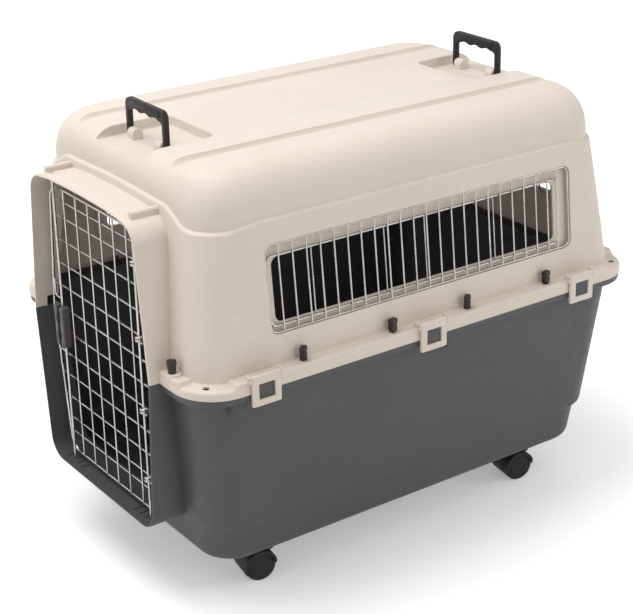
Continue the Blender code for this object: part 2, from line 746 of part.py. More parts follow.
def band_blocks(name, inset):
    """The flange's raised bands: along both sides, beside the snout, and across the rear."""
    edge_x = FLANGE_HALF_X - BAND_INSET - inset
    edge_y = FLANGE_HALF_Y - BAND_INSET - inset
    inner_x = BELT_HALF_X - 2 * WALL
    inner_y = BELT_HALF_X + BODY_EXTRA_Y - 2 * WALL
    places = []
    for side in (1, -1):
        x0, x1 = span(side * inner_x, side * edge_x)
        places.append(((x0, BAND_SIDE_Y[0] + inset), (x1, BAND_SIDE_Y[1] - inset)))
        x0, x1 = span(side * SNOUT_TOP_HALF_X, side * (BAND_END_X - inset))
        places.append(((x0, BODY_Y - edge_y), (x1, BODY_Y - inner_y)))
    places.append(((-BAND_END_X + inset, BODY_Y + inner_y), (BAND_END_X - inset, BODY_Y + edge_y)))
    low_z = SPLIT_Z + LIP_DEPTH / 2 - inset
    return [
        plate(f"{name}_{i}", rounded(low, high, BAND_CORNER_R - inset), FLAT, low_z, BAND_TOP_Z - inset)
        for i, (low, high) in enumerate(places)
    ]


def snout_upper(inset, low_z):
    """The arched upper half of the snout, from the right of the split to the left."""
    half = SNOUT_HALF_X - inset
    top_half = SNOUT_TOP_HALF_X - inset
    radius = SNOUT_R - inset
    right = arc(top_half - radius, SNOUT_SHOULDER_Z - inset - radius, radius, 0, 84, 6)
    side_crown = (SNOUT_CROWN_X, SNOUT_TOP_Z - SNOUT_CROWN_DROP - inset)
    crown = [side_crown, (0.0, SNOUT_TOP_Z - inset), (-side_crown[0], side_crown[1])]
    left = [(-x, z) for x, z in reversed(right)]
    return [(half, low_z), *right, *crown, *left, (-half, low_z)]


def snout_lower(inset, high_z):
    half = SNOUT_HALF_X - inset
    radius = SNOUT_R - inset
    left = arc(-SNOUT_BASE_HALF_X + inset + radius, SNOUT_BASE_Z + inset + radius, radius, 180, 270, 6)
    right = [(-x, z) for x, z in reversed(left)]
    return [(-half, high_z), *left, *right, (half, high_z)]


def wall_slope():
    return (CREASE_HALF_X - BELT_HALF_X) / (CREASE_Z - LEDGE_DROP - WALL_START_Z)


def wall_x(z):
    """Outer face of the side wall at a height between the belt and the crease."""
    return BELT_HALF_X + wall_slope() * (z - WALL_START_Z)


def wall_frame(side):
    """The leaning side wall: its axes are y, height, and depth outwards."""
    up = Vector((side * wall_slope(), 0, 1))
    out = Vector((side, 0, -wall_slope())).normalized()
    foot = Vector((side * wall_x(RECESS_Z0), 0, RECESS_Z0)) - up * RECESS_Z0
    frame = Matrix.Identity(4)
    for column, axis in enumerate((Vector((0, 1, 0)), up, out, foot)):
        for row in range(3):
            frame[row][column] = axis[row]
    return frame


def on_wall(side, y, z, depth):
    return wall_frame(side) @ Vector((y, z, depth))


def wall_plate(name, side, low, high, radius, depth0, depth1):
    """A rounded block set square to the leaning side wall."""
    return plate(name, rounded(low, high, radius), wall_frame(side), depth0, depth1)


def groove_plates(name, grow):
    made = []
    for side in (-1, 1):
        low = (side * GROOVE_X - GROOVE_W / 2 - grow, BODY_Y - GROOVE_HALF_Y - grow)
        high = (side * GROOVE_X + GROOVE_W / 2 + grow, BODY_Y + GROOVE_HALF_Y + grow)
        label = f"{name}_{side_name(side)}"
        outline = rounded(low, high, GROOVE_R + grow)
        made.append(plate(label, outline, FLAT, GROOVE_FLOOR_Z - grow, ROOF_Z + OVERCUT))
    return made


def handle_y(end):
    return HANDLE_FRONT_Y if end == "front" else HANDLE_REAR_Y


def pocket_plate(name, end, grow):
    """A handle's pocket: it reaches towards the middle and opens over the end slope."""
    inward = 1 if end == "front" else -1
    y0, y1 = span(handle_y(end) - inward * POCKET_BEHIND, handle_y(end) + inward * POCKET_REACH)
    half_x = POCKET_HALF_X + grow
    outline = rounded((-half_x, y0 - grow), (half_x, y1 + grow), POCKET_R + grow, 4)
    return plate(name, outline, FLAT, POCKET_FLOOR_Z - grow, ROOF_Z + OVERCUT)


def handle_lug(name, end, side):
    """The rounded lug inside a handle leg, standing on the pocket floor, and its bore."""
    y = handle_y(end)
    root_z = POCKET_FLOOR_Z - WALL / 2
    inner = HANDLE_LEG_X - HANDLE_LEG_W / 2 - GAP
    outline = [(y + LUG_R, root_z), *arc(y, HANDLE_PIVOT_Z, LUG_R, 0, 180, 8), (y - LUG_R, root_z)]
    lug = plate(name, outline, FACING_X, side * (inner - LUG_W), side * inner)
    mouth = (side * (inner + LUG_W / 4), y, HANDLE_PIVOT_Z)
    deep = (side * (inner - STUB_LENGTH - WALL / 4), y, HANDLE_PIVOT_Z)
    return lug, rod(f"{name}_bore", mouth, deep, STUB_R + GAP, BORE_SIDES)


def clip_cheeks(name, side, y):
    """Two small cheeks on the flange that carry a clip's pivot pin."""
    made = []
    x0, x1 = span(side * (FLANGE_HALF_X - CHEEK_IN), side * (FLANGE_HALF_X + CHEEK_OUT))
    for end in (-1, 1):
        y0, y1 = span(y + end * (CLIP_W / 2 + GAP), y + end * (CLIP_W / 2 + CHEEK_W))
        low = (x0, y0, CLIP_TOP_Z - CHEEK_DROP)
        made.append(box(f"{name}_{'a' if end < 0 else 'b'}", low, (x1, y1, CLIP_TOP_Z)))
    return made


def bolt_places():
    """Name, x and y of every wing bolt."""
    places = []
    for side in (1, -1):
        for i, y in enumerate(BOLT_SIDE_Y, 1):
            places.append((f"wing_bolt_{side_name(side)}_{i}", side * BOLT_SIDE_X, y))
        places.append((f"wing_bolt_front_{side_name(side)}", side * BOLT_END_X, BOLT_FRONT_Y))
        places.append((f"wing_bolt_rear_{side_name(side)}", side * BOLT_END_X, BOLT_REAR_Y))
    return places


def at_an_end(bolt):
    return "front" in bolt or "rear" in bolt


def flange_holes(name):
    """Bolt holes and corner tie holes through the flange."""
    work = bmesh.new()
    low_z = SPLIT_Z - LIP_DEPTH - OVERCUT
    high_z = BAND_TOP_Z + OVERCUT
    for _, x, y in bolt_places():
        add_rod(work, (x, y, low_z), (x, y, high_z), BOLT_SHANK_R + GAP, PIN_SIDES)
    for side in (-1, 1):
        for end in (-1, 1):
            x, y = side * TIE_HOLE_X, BODY_Y + end * TIE_HOLE_Y
            add_rod(work, (x, y, low_z), (x, y, high_z), TIE_HOLE_R, BORE_SIDES)
    return object_from(work, name)


def bolt_pads(name):
    """Raised round pads under the front and rear bolts."""
    made = []
    for place, x, y in bolt_places():
        if at_an_end(place):
            y += PAD_SHIFT if y < 0 else -PAD_SHIFT
            low, high = (x, y, BAND_TOP_Z - PAD_ROOT), (x, y, BAND_TOP_Z + PAD_H)
            made.append(rod(f"{name}_{place}", low, high, PAD_R, 16))
    return made


def rod_holes(name, low_z, high_z):
    """Clearance holes in the snout for the hinge rod and the latch rods."""
    work = bmesh.new()
    for x in (HINGE_X, LATCH_X):
        add_rod(work, (x, ROD_Y, low_z), (x, ROD_Y, high_z), ROD_R + ROD_PLAY, ROD_SIDES)
    return object_from(work, name)


def clip_pin_line(side, y, reach):
    x = side * (FLANGE_HALF_X + CLIP_PIN_X)
    return (x, y - CLIP_W / 2 - reach, CLIP_AXIS_Z), (x, y + CLIP_W / 2 + reach, CLIP_AXIS_Z)


def clip_pin_holes(name):
    work = bmesh.new()
    for side in (-1, 1):
        for y in CLIP_Y:
            start, end = clip_pin_line(side, y, 2 * CHEEK_W)
            add_rod(work, start, end, CLIP_PIN_R + GAP, PIN_SIDES)
    return object_from(work, name)


def join_snout_upper(shell):
    skin = snout_upper(0.0, SPLIT_Z + GAP / 2)
    join(shell, plate("snout_upper_skin", skin, FACING_Y, SNOUT_FRONT_Y, SNOUT_BACK_Y))
    for side in (-1, 1):
        x0, x1 = span(side * (EAR_X - EAR_HALF_W), side * (EAR_X + EAR_HALF_W))
        outline = rounded((x0, EAR_TOP_Z - EAR_HEIGHT), (x1, EAR_TOP_Z), EAR_R)
        join(shell, plate(f"snout_ear_{side_name(side)}", outline, FACING_Y, EAR_FRONT_Y, EAR_BACK_Y))


def cut_roof(shell, cavity):
    """Handle pockets with their lugs, and the two long grooves."""
    for end in ("front", "rear"):
        cut(shell, pocket_plate(f"pocket_{end}_cut", end, 0.0))
        cut(cavity, pocket_plate(f"pocket_{end}_room", end, WALL))
    cut(shell, *groove_plates("groove_cut", 0.0))
    cut(cavity, *groove_plates("groove_room", WALL))
    for end in ("front", "rear"):
        for side in (-1, 1):
            lug, bore = handle_lug(f"handle_lug_{end}_{side_name(side)}", end, side)
            join(shell, lug)
            cut(shell, bore)


def cut_window_recesses(shell, cavity):
    for side in (1, -1):
        low, high = (RECESS_Y0, RECESS_Z0), (RECESS_Y1, RECESS_Z1)
        name = f"recess_{side_name(side)}_cut"
        cut(shell, wall_plate(name, side, low, high, RECESS_R, -RECESS_DEPTH, OVERCUT))
        low, high = (RECESS_Y0 - WALL, RECESS_Z0 - WALL), (RECESS_Y1 + WALL, RECESS_Z1 + WALL)
        name = f"recess_{side_name(side)}_room"
        cut(cavity, wall_plate(name, side, low, high, RECESS_R + WALL, -RECESS_DEPTH - WALL, OVERCUT))


def cut_openings(shell):
    """The doorway, the side windows and the rear window."""
    tunnel = snout_upper(WALL, SPLIT_Z - OVERCUT)
    cut(shell, plate("tunnel_upper", tunnel, FACING_Y, SNOUT_FRONT_Y - OVERCUT, TUNNEL_BACK_Y))
    for side in (1, -1):
        low, high = (WINDOW_Y0, WINDOW_Z0), (WINDOW_Y1, WINDOW_Z1)
        name = f"window_{side_name(side)}_cut"
        cut(shell, wall_plate(name, side, low, high, WINDOW_R, -2 * OVERCUT, OVERCUT))
    outline = rounded((-REAR_HALF_X, REAR_Z0), (REAR_HALF_X, REAR_Z1), REAR_R)
    rear_y = rear_wall_y(REAR_Z0)
    cut(shell, plate("rear_window_cut", outline, FACING_Y, rear_y - 2 * OVERCUT, rear_y + 2 * OVERCUT))


def make_upper_shell():
    shell = upper_body("upper_shell", 0.0, SPLIT_Z + GAP / 2)
    cavity = upper_body("upper_cavity", WALL, SPLIT_Z - OVERCUT)
    join(shell, *band_blocks("band", 0.0))
    join(cavity, *band_blocks("band_room", WALL))
    join_snout_upper(shell)
    cut_roof(shell, cavity)
    cut_window_recesses(shell, cavity)
    for side in (1, -1):
        for i, y in enumerate(CLIP_Y, 1):
            join(shell, *clip_cheeks(f"clip_cheek_{side_name(side)}_{i}", side, y))
    join(shell, *bolt_pads("pad"))
    cut(shell, cavity)
    cut_openings(shell)
    cut(shell, flange_holes("flange_holes_upper"), clip_pin_holes("clip_pin_holes"))
    cut(shell, rod_holes("rod_holes_upper", SNOUT_TOP_Z - 2 * OVERCUT, SNOUT_TOP_Z + OVERCUT))
    settle(shell)
    return place_piece(shell, "beige_plastic")


def tub_loop(half_x, corner, z):
    return ring_loop(half_x, half_x + BODY_EXTRA_Y, corner, z)


def lower_body(name, inset):
    """The tub's solid form with its rim, or with an inset the room inside it."""
    loops = []
    for drawn_in, rise in TUB_FILLET:
        share = 1 - rise / TUB_FILLET[-1][1] / 2
        half_x = TUB_FOOT_HALF_X - drawn_in - inset
        corner = TUB_FOOT_CORNER_R - (drawn_in + inset) / 2
        loops.append(tub_loop(half_x, corner, TUB_BASE_Z + rise + inset * share))
    step_r = TUB_STEP_CORNER_R - inset / 2
    loops.append(tub_loop(TUB_STEP_HALF_X - TUB_STEP - inset, step_r, TUB_STEP_Z - TUB_STEP))
    loops.append(tub_loop(TUB_STEP_HALF_X - inset, step_r, TUB_STEP_Z + LEDGE_TAPER))
    if inset > 0:
        loops.append(belt_loop(-inset, SPLIT_Z + OVERCUT))
        return loft(name, loops)
    plate_z = SPLIT_Z - WALL - GAP / 2
    lip_z = SPLIT_Z - LIP_DEPTH
    loops.append(belt_loop(TUB_RIM_GROW, TUB_TOP_Z))
    loops.append(belt_loop(TUB_RIM_GROW + TUB_COVE, plate_z))
    loops.append(flange_loop(LIP_INSET + WALL, plate_z))
    loops.append(flange_loop(LIP_INSET + WALL, lip_z))
    loops.append(flange_loop(2 * LIP_INSET, lip_z))
    loops.append(flange_loop(LIP_INSET, SPLIT_Z - GAP / 2))
    return loft(name, loops)


def join_catches(shell):
    """A catch under each clip: a root on the lip, and a face that fills the clip's window."""
    for side in (-1, 1):
        for i, y in enumerate(CLIP_Y, 1):
            name = f"catch_{side_name(side)}_{i}"
            x0, x1 = span(side * (FLANGE_HALF_X - FLANGE_ROUND), side * (FLANGE_HALF_X + CATCH_T))
            low = (x0, y - CATCH_W / 2, CATCH_Z0)
            join(shell, box(f"{name}_root", low, (x1, y + CATCH_W / 2, SPLIT_Z - GAP / 2)))
            x0, x1 = span(side * (FLANGE_HALF_X + GAP), side * (FLANGE_HALF_X + CATCH_T + CATCH_EDGE))
            half = CATCH_W / 2 - CATCH_EDGE
            join(shell, box(f"{name}_face", (x0, y - half, CATCH_Z0 + CATCH_EDGE), (x1, y + half, CATCH_Z1)))


def join_gussets(shell):
    """Small blocks under the rim, against the tub's sides."""
    inner_x = BELT_HALF_X - WALL / 2 - GUSSET_TUCK
    for side in (-1, 1):
        x0, x1 = span(side * inner_x, side * GUSSET_HALF_X)
        for i, y in enumerate(GUSSET_Y, 1):
            low = (x0, y - GUSSET_LENGTH / 2, GUSSET_BASE_Z)
            high = (x1, y + GUSSET_LENGTH / 2, SPLIT_Z - WALL)
            join(shell, box(f"gusset_{side_name(side)}_{i}", low, high))


def comb_slots(name):
    """Short drain slots in the snout's floor, left out where a rod's hole takes their place."""
    work = bmesh.new()
    for side in (-1, 1):
        for offset in COMB_X:
            x = side * offset
            if min(abs(x - HINGE_X), abs(x - LATCH_X)) < COMB_CLEAR:
                continue
            size = Matrix.Diagonal((COMB_W, COMB_LENGTH, 2 * OVERCUT, 1.0))
            frame = Matrix.Translation((x, COMB_Y, SNOUT_BASE_Z)) @ size
            bmesh.ops.create_cube(work, size=1.0, matrix=frame)
    return object_from(work, name)


def caster_sockets(name):
    work = bmesh.new()
    for x, y in caster_places().values():
        low, high = (x, y, TUB_BASE_Z - OVERCUT / 2), (x, y, TUB_BASE_Z + OVERCUT)
        add_rod(work, low, high, STEM_ROOT_R + GAP, BORE_SIDES)
    return object_from(work, name)


def make_lower_shell():
    shell = lower_body("lower_shell", 0.0)
    skin = snout_lower(0.0, SPLIT_Z - GAP / 2)
    join(shell, plate("snout_lower_skin", skin, FACING_Y, SNOUT_FRONT_Y, SNOUT_BACK_Y))
    join_catches(shell)
    join_gussets(shell)
    cut(shell, lower_body("lower_cavity", WALL))
    tunnel = snout_lower(WALL, SPLIT_Z + OVERCUT)
    cut(shell, plate("tunnel_lower", tunnel, FACING_Y, SNOUT_FRONT_Y - OVERCUT, TUNNEL_BACK_Y))
    cut(shell, flange_holes("flange_holes_lower"))
    cut(shell, rod_holes("rod_holes_lower", SNOUT_BASE_Z - OVERCUT, SNOUT_BASE_Z + OVERCUT))
    cut(shell, comb_slots("comb_slots"), caster_sockets("caster_sockets"))
    settle(shell)
    return place_piece(shell, "grey_plastic")


def add_bars(work, side, places, z0, z1):
    for y in places:
        start = on_wall(side, y, z0 - WELD, -GRILLE_DEPTH)
        end = on_wall(side, y, z1 + WELD, -GRILLE_DEPTH)
        add_rod(work, start, end, BAR_R, 4, 20)


def make_window_grille(side):
    """Bars welded to a wire frame, with two thick rails behind them along the opening's edges."""
    name = f"window_grille_{side_name(side)}"
    inset = GRILLE_FRAME_R + GAP
    low = (RECESS_Y0 + inset, RECESS_Z0 + inset)
    high = (RECESS_Y1 - inset, RECESS_Z1 - inset)
    path = [tuple(on_wall(side, y, z, -GRILLE_DEPTH)) for y, z in rounded(low, high, GRILLE_CORNER_R)]
    frame = wire(name, path, GRILLE_FRAME_R, cyclic=True)
    bars = bmesh.new()
    places = [BAR_FIRST_Y + BAR_PITCH * i for i in range(BAR_COUNT)]
    places.append(places[-1] + BAR_PITCH * END_BAR_STEP)
    add_bars(bars, side, places, low[1], high[1])
    rails = bmesh.new()
    depth = WELD - GRILLE_DEPTH - BAR_R - RAIL_R
    for z in (WINDOW_Z0 - RAIL_OFFSET, WINDOW_Z1 + RAIL_OFFSET):
        start = on_wall(side, WINDOW_Y0 - RAIL_REACH[0], z, depth)
        add_rod(rails, start, on_wall(side, WINDOW_Y1 + RAIL_REACH[1], z, depth), RAIL_R, WIRE_SIDES, 10)
    join(frame, object_from(bars, f"{name}_bars"), object_from(rails, f"{name}_rails"))
    settle(frame)
    return place_piece(frame, "chrome_wire")


def rear_wall_y(z):
    """Outer face of the rear wall, which leans a little more than the sides, as the crease dips there."""
    slope = (CREASE_HALF_X - BELT_HALF_X) / (CREASE_Z - LEDGE_DROP - CREASE_DIP - WALL_START_Z)
    return BODY_Y + BODY_EXTRA_Y + BELT_HALF_X + slope * (z - WALL_START_Z)


def make_rear_grille():
    """A small wire grille on the inside of the rear window."""
    name = "rear_grille"

    def at(x, z):
        return (x, rear_wall_y(z) - WALL - GAP - REAR_WIRE_R, z)

    half_x, z0, z1 = REAR_HALF_X + REAR_LAP, REAR_Z0 - REAR_LAP, REAR_Z1 + REAR_LAP
    corners = [at(half_x, z0), at(half_x, z1), at(-half_x, z1), at(-half_x, z0)]
    frame = wire(name, corners, REAR_WIRE_R, cyclic=True)
    bars = bmesh.new()
    for i in range(REAR_BARS):
        x = REAR_HALF_X * ((2 * i + 1) / REAR_BARS - 1)
        add_rod(bars, at(x, z0 - WELD), at(x, z1 + WELD), BAR_R, 4, 20)
    join(frame, object_from(bars, f"{name}_bars"))
    settle(frame)
    return place_piece(frame, "chrome_wire")


def door_half_x(z):
    """Half width of the door frame, which is widest at the belt like the snout round it."""
    if z > SPLIT_Z:
        part = (z - SPLIT_Z) / (DOOR_TOP_Z - SPLIT_Z)
        return DOOR_MID_HALF_X + (DOOR_TOP_HALF_X - DOOR_MID_HALF_X) * part
    part = (SPLIT_Z - z) / (SPLIT_Z - DOOR_BASE_Z)
    return DOOR_MID_HALF_X + (DOOR_BASE_HALF_X - DOOR_MID_HALF_X) * part


def door_path():
    """The bent frame wire, from the right of the belt over the top and back along the base."""
    radius = DOOR_CORNER_R
    top = arc(DOOR_TOP_HALF_X - radius, DOOR_TOP_Z - radius, radius, 0, 90, 4)
    base = arc(DOOR_BASE_HALF_X - radius, DOOR_BASE_Z + radius, radius, 270, 360, 4)
    path = [(DOOR_MID_HALF_X, SPLIT_Z), *top, *[(-x, z) for x, z in reversed(top)]]
    path += [(-DOOR_MID_HALF_X, SPLIT_Z), *[(-x, z) for x, z in reversed(base)], *base]
    return [(x, MAT_Y, z) for x, z in path]


def door_reach(z):
    """How far a row runs to meet the frame, which curves in near the top."""
    over = max(0.0, z - DOOR_TOP_Z + DOOR_CORNER_R)
    curve = DOOR_CORNER_R - math.sqrt(DOOR_CORNER_R**2 - over**2)
    return door_half_x(z) - curve + WELD


def make_door_mat():
    """The door's bent frame wire with the welded rows and columns, and its hinge knuckles."""
    mat = wire("door_mat", door_path(), FRAME_R, cyclic=True)
    rows = bmesh.new()
    for z in DOOR_ROWS:
        add_rod(rows, (-door_reach(z), MAT_Y, z), (door_reach(z), MAT_Y, z), MAT_WIRE_R, WIRE_SIDES, 10)
    columns = bmesh.new()
    column_y = MAT_Y - 2 * MAT_WIRE_R + 2 * WELD
    for x in DOOR_COLUMNS:
        start, end = (x, column_y, DOOR_BASE_Z - WELD), (x, column_y, DOOR_TOP_Z + WELD)
        add_rod(columns, start, end, MAT_WIRE_R, WIRE_SIDES, 20)
    knuckles = bmesh.new()
    bores = bmesh.new()
    for z in KNUCKLE_ROWS:
        low, high = (HINGE_X, ROD_Y, z - KNUCKLE_HALF_H), (HINGE_X, ROD_Y, z + KNUCKLE_HALF_H)
        add_rod(knuckles, low, high, KNUCKLE_R, BORE_SIDES)
        low, high = (HINGE_X, ROD_Y, z - 2 * KNUCKLE_HALF_H), (HINGE_X, ROD_Y, z + 2 * KNUCKLE_HALF_H)
        add_rod(bores, low, high, ROD_R + GAP, BORE_SIDES)
    join(mat, object_from(rows, "door_rows"), object_from(columns, "door_columns"))
    join(mat, object_from(knuckles, "door_knuckles"))
    cut(mat, object_from(bores, "door_knuckle_bores"))
    settle(mat)
    set_origin(mat, (HINGE_X, ROD_Y, DOOR_BASE_Z))
    return place_piece(mat, "chrome_wire")


def make_hinge_rod():
    made = rod("hinge_rod", (HINGE_X, ROD_Y, ROD_BASE_Z), (HINGE_X, ROD_Y, ROD_TOP_Z), ROD_R, BORE_SIDES)
    return place_piece(made, "chrome_wire")


def make_latch_housing():
    """The housing on the door, with the channel that its two rods and slides run in."""
    low = (LATCH_X - HOUSING_HALF_X, ROD_Y - HOUSING_FRONT, HOUSING_Z0)
    high = (LATCH_X + HOUSING_HALF_X, MAT_Y - FRAME_R - GAP, HOUSING_Z1)
    housing = box("latch_housing", low, high, HOUSING_ROUND)
    low = (LATCH_X - CHANNEL_HALF_X, ROD_Y - HOUSING_FRONT - OVERCUT, HOUSING_Z0 - OVERCUT)
    high = (LATCH_X + CHANNEL_HALF_X, ROD_Y + CHANNEL_BACK, HOUSING_Z1 + OVERCUT)
    cut(housing, box("latch_channel", low, high))
    settle(housing)
    return place_piece(housing, "latch_plastic")


def make_latch_slide(label, sign):
    """A thumb slide in the housing's channel, on the rod that it draws."""
    middle = (HOUSING_Z0 + HOUSING_Z1) / 2
    start = middle + sign * (LATCH_TRAVEL + LATCH_SLACK)
    z0, z1 = span(start, start + sign * THUMB_H)
    low = (LATCH_X - CHANNEL_HALF_X + GAP, ROD_Y - HOUSING_FRONT - THUMB_PROUD, z0)
    high = (LATCH_X + CHANNEL_HALF_X - GAP, ROD_Y + CHANNEL_BACK - GAP, z1)
    thumb = box(f"latch_thumb_{label}", low, high, THUMB_ROUND, 1)
    start, end = (LATCH_X, ROD_Y, z0 - ROD_R), (LATCH_X, ROD_Y, z1 + ROD_R)
    cut(thumb, rod(f"latch_thumb_{label}_bore", start, end, ROD_R + GAP, ROD_SIDES))
    settle(thumb)
    set_origin(thumb, (LATCH_X, ROD_Y, (z0 + z1) / 2))
    return place_piece(thumb, "dark_plastic")


def make_latch_rod(label, sign):
    """A rod from the housing to the snout, with a hooked finger grip."""
    near = (HOUSING_Z0 + HOUSING_Z1) / 2 + sign * (LATCH_TRAVEL + 2 * LATCH_SLACK)
    far = ROD_TOP_Z if sign > 0 else ROD_BASE_Z
    edge = HOUSING_Z1 if sign > 0 else HOUSING_Z0
    hook_z = edge + sign * (HOOK_RISE + LATCH_TRAVEL)
    bar = rod(f"latch_rod_{label}", (LATCH_X, ROD_Y, near), (LATCH_X, ROD_Y, far), ROD_R, ROD_SIDES)
    bend = [(0.0, 0.0), (0.35, -1.0), (0.65, -1.0), (0.92, 0.0), (1.0, 2.0)]
    path = [(LATCH_X - HOOK_W * u, ROD_Y, hook_z + sign * HOOK_DEPTH * v) for u, v in bend]
    path.append((LATCH_X - HOOK_W, ROD_Y, hook_z + sign * HOOK_LEG))
    join(bar, wire(f"latch_rod_{label}_hook", path, HOOK_R))
    settle(bar)
    set_origin(bar, (LATCH_X, ROD_Y, near))
    return place_piece(bar, "chrome_wire")


def handle_outline():
    """A U of two legs and a grip with finger scallops beneath, seen from the front."""
    out_x = HANDLE_LEG_X + HANDLE_LEG_W / 2
    in_x = HANDLE_LEG_X - HANDLE_LEG_W / 2
    base = HANDLE_PIVOT_Z - HANDLE_FOOT
    grip_low = HANDLE_TOP_Z - GRIP_H
    corner = HANDLE_CORNER_R
    right = [(out_x, base), *arc(out_x - corner, HANDLE_TOP_Z - corner, corner, 0, 90, 4)]
    outline = right + [(-x, z) for x, z in reversed(right)]
    outline += [(-in_x, base), (-in_x, grip_low - GRIP_INSET * 0.7), (-in_x + GRIP_INSET, grip_low)]
    start = -in_x + 1.3 * GRIP_INSET
    pitch = -2 * start / SCALLOPS
    for i in range(SCALLOPS):
        for part, depth in ((0.08, 0.0), (0.35, 1.0), (0.65, 1.0), (0.92, 0.0)):
            outline.append((start + pitch * (i + part), grip_low + SCALLOP_DEPTH * depth))
    return outline + [(in_x - GRIP_INSET, grip_low), (in_x, grip_low - GRIP_INSET * 0.7), (in_x, base)]


def make_handle(end):
    """Two flat legs with pivot stubs, and a thicker grip."""
    y = handle_y(end)
    in_x = HANDLE_LEG_X - HANDLE_LEG_W / 2
    handle = plate(f"handle_{end}", handle_outline(), FACING_Y, y - HANDLE_HALF_T, y + HANDLE_HALF_T)
    low = (y - GRIP_HALF_T, HANDLE_TOP_Z - GRIP_H + 1.5 * SCALLOP_DEPTH)
    grip = rounded(low, (y + GRIP_HALF_T, HANDLE_TOP_Z - GAP), GRIP_ROUND)
    join(handle, plate(f"handle_{end}_grip", grip, FACING_X, -in_x + GRIP_INSET, in_x - GRIP_INSET))
    for side in (-1, 1):
        start = (side * (in_x + STUB_R), y, HANDLE_PIVOT_Z)
        stop = (side * (in_x - STUB_LENGTH), y, HANDLE_PIVOT_Z)
        join(handle, rod(f"handle_{end}_stub_{side_name(side)}", start, stop, STUB_R, BORE_SIDES))
    settle(handle)
    set_origin(handle, (0, y, HANDLE_PIVOT_Z))
    return place_piece(handle, "dark_plastic")


def make_clip(side, index, y):
    """A square swing plate with a window round its catch, and its pivot pin."""
    label = f"{side_name(side)}_{index}"
    x0, x1 = span(side * (FLANGE_HALF_X + 1.5 * GAP), side * (FLANGE_HALF_X + CLIP_T))
    outline = rounded((x0, CLIP_BASE_Z), (x1, CLIP_TOP_Z), CLIP_R, 2)
    clip = plate(f"clip_{label}", outline, FACING_Y, y - CLIP_W / 2, y + CLIP_W / 2)
    half = CATCH_W / 2 + CATCH_PLAY
    low = (x0 - CLIP_T, y - half, CATCH_Z0 - CATCH_PLAY)
    cut(clip, box(f"clip_{label}_window", low, (x1 + CLIP_T, y + half, CATCH_Z1 + CATCH_PLAY)))
    start, end = clip_pin_line(side, y, CHEEK_W)
    cut(clip, rod(f"clip_{label}_bore", start, end, CLIP_PIN_R + GAP, PIN_SIDES))
    settle(clip)
    set_origin(clip, (side * (FLANGE_HALF_X + CLIP_PIN_X), y, CLIP_AXIS_Z))
    place_piece(clip, "beige_plastic")
    start, end = clip_pin_line(side, y, CHEEK_W - GAP)
    place_piece(rod(f"clip_pin_{label}", start, end, CLIP_PIN_R, PIN_SIDES), "chrome_wire")


def make_wing_bolt(name, x, y):
    """A plastic bolt through the flange with a wing head on top."""
    base = BAND_TOP_Z + GAP + (PAD_H if at_an_end(name) else SIDE_STANDOFF)
    neck = BOLT_HUB_R * 0.7
    profile = [(0, base + BOLT_HUB_H), (neck, base + BOLT_HUB_H), (BOLT_HUB_R, base + BOLT_HUB_H / 2)]
    bolt = turned(name, [*profile, (BOLT_HUB_R, base), (0, base)], (x, y, 0), steps=PIN_SIDES)
    join(bolt, rod(f"{name}_shank", (x, y, BOLT_BASE_Z), (x, y, base + WING_START), BOLT_SHANK_R))
    turn = (x * 37.0 + y * 91.0) % 3.0
    low = (-WING_HALF_X, -WING_HALF_Y, base + WING_START)
    wing = box(f"{name}_wing", low, (WING_HALF_X, WING_HALF_Y, base + WING_H))
    wing.data.transform(Matrix.Translation((x, y, 0)) @ Matrix.Rotation(turn, 4, "Z"))
    join(bolt, wing)
    settle(bolt)
    return place_piece(bolt, "brown_plastic")


def caster_places():
    places = {}
    for side in (1, -1):
        places[f"front_{side_name(side)}"] = (side * CASTER_X, CASTER_FRONT_Y)
        places[f"rear_{side_name(side)}"] = (side * CASTER_REAR_X, CASTER_REAR_Y)
    return places


def make_caster_stem(label, x, y):
    """The stem with its mounting plate under the tub."""
    plate_z = TUB_BASE_Z - GAP
    root_z = TUB_BASE_Z + STEM_ROOT_H
    profile = [
        (0, root_z), (STEM_ROOT_R, root_z), (STEM_ROOT_R, plate_z), (PLATE_R, plate_z),
        (PLATE_R, PLATE_BASE_Z + PLATE_ROUND), (PLATE_R - PLATE_ROUND, PLATE_BASE_Z),
        (STEM_R, PLATE_BASE_Z), (STEM_R, STEM_BASE_Z), (0, STEM_BASE_Z),
    ]
    place_piece(turned(f"caster_stem_{label}", profile, (x, y, 0), steps=16), "dark_plastic")


def caster_frame(x, y, turn):
    """A caster's wheel frame: its axes point away from the stem, up, and along the axle."""
    back = Vector((math.sin(turn), -math.cos(turn), 0))
    axle = Vector((math.cos(turn), math.sin(turn), 0))
    middle = Vector((x, y, WHEEL_R)) + back * TRAIL
    frame = Matrix.Identity(4)
    for column, axis in enumerate((back, Vector((0, 0, 1)), axle, middle)):
        for row in range(3):
            frame[row][column] = axis[row]
    return frame


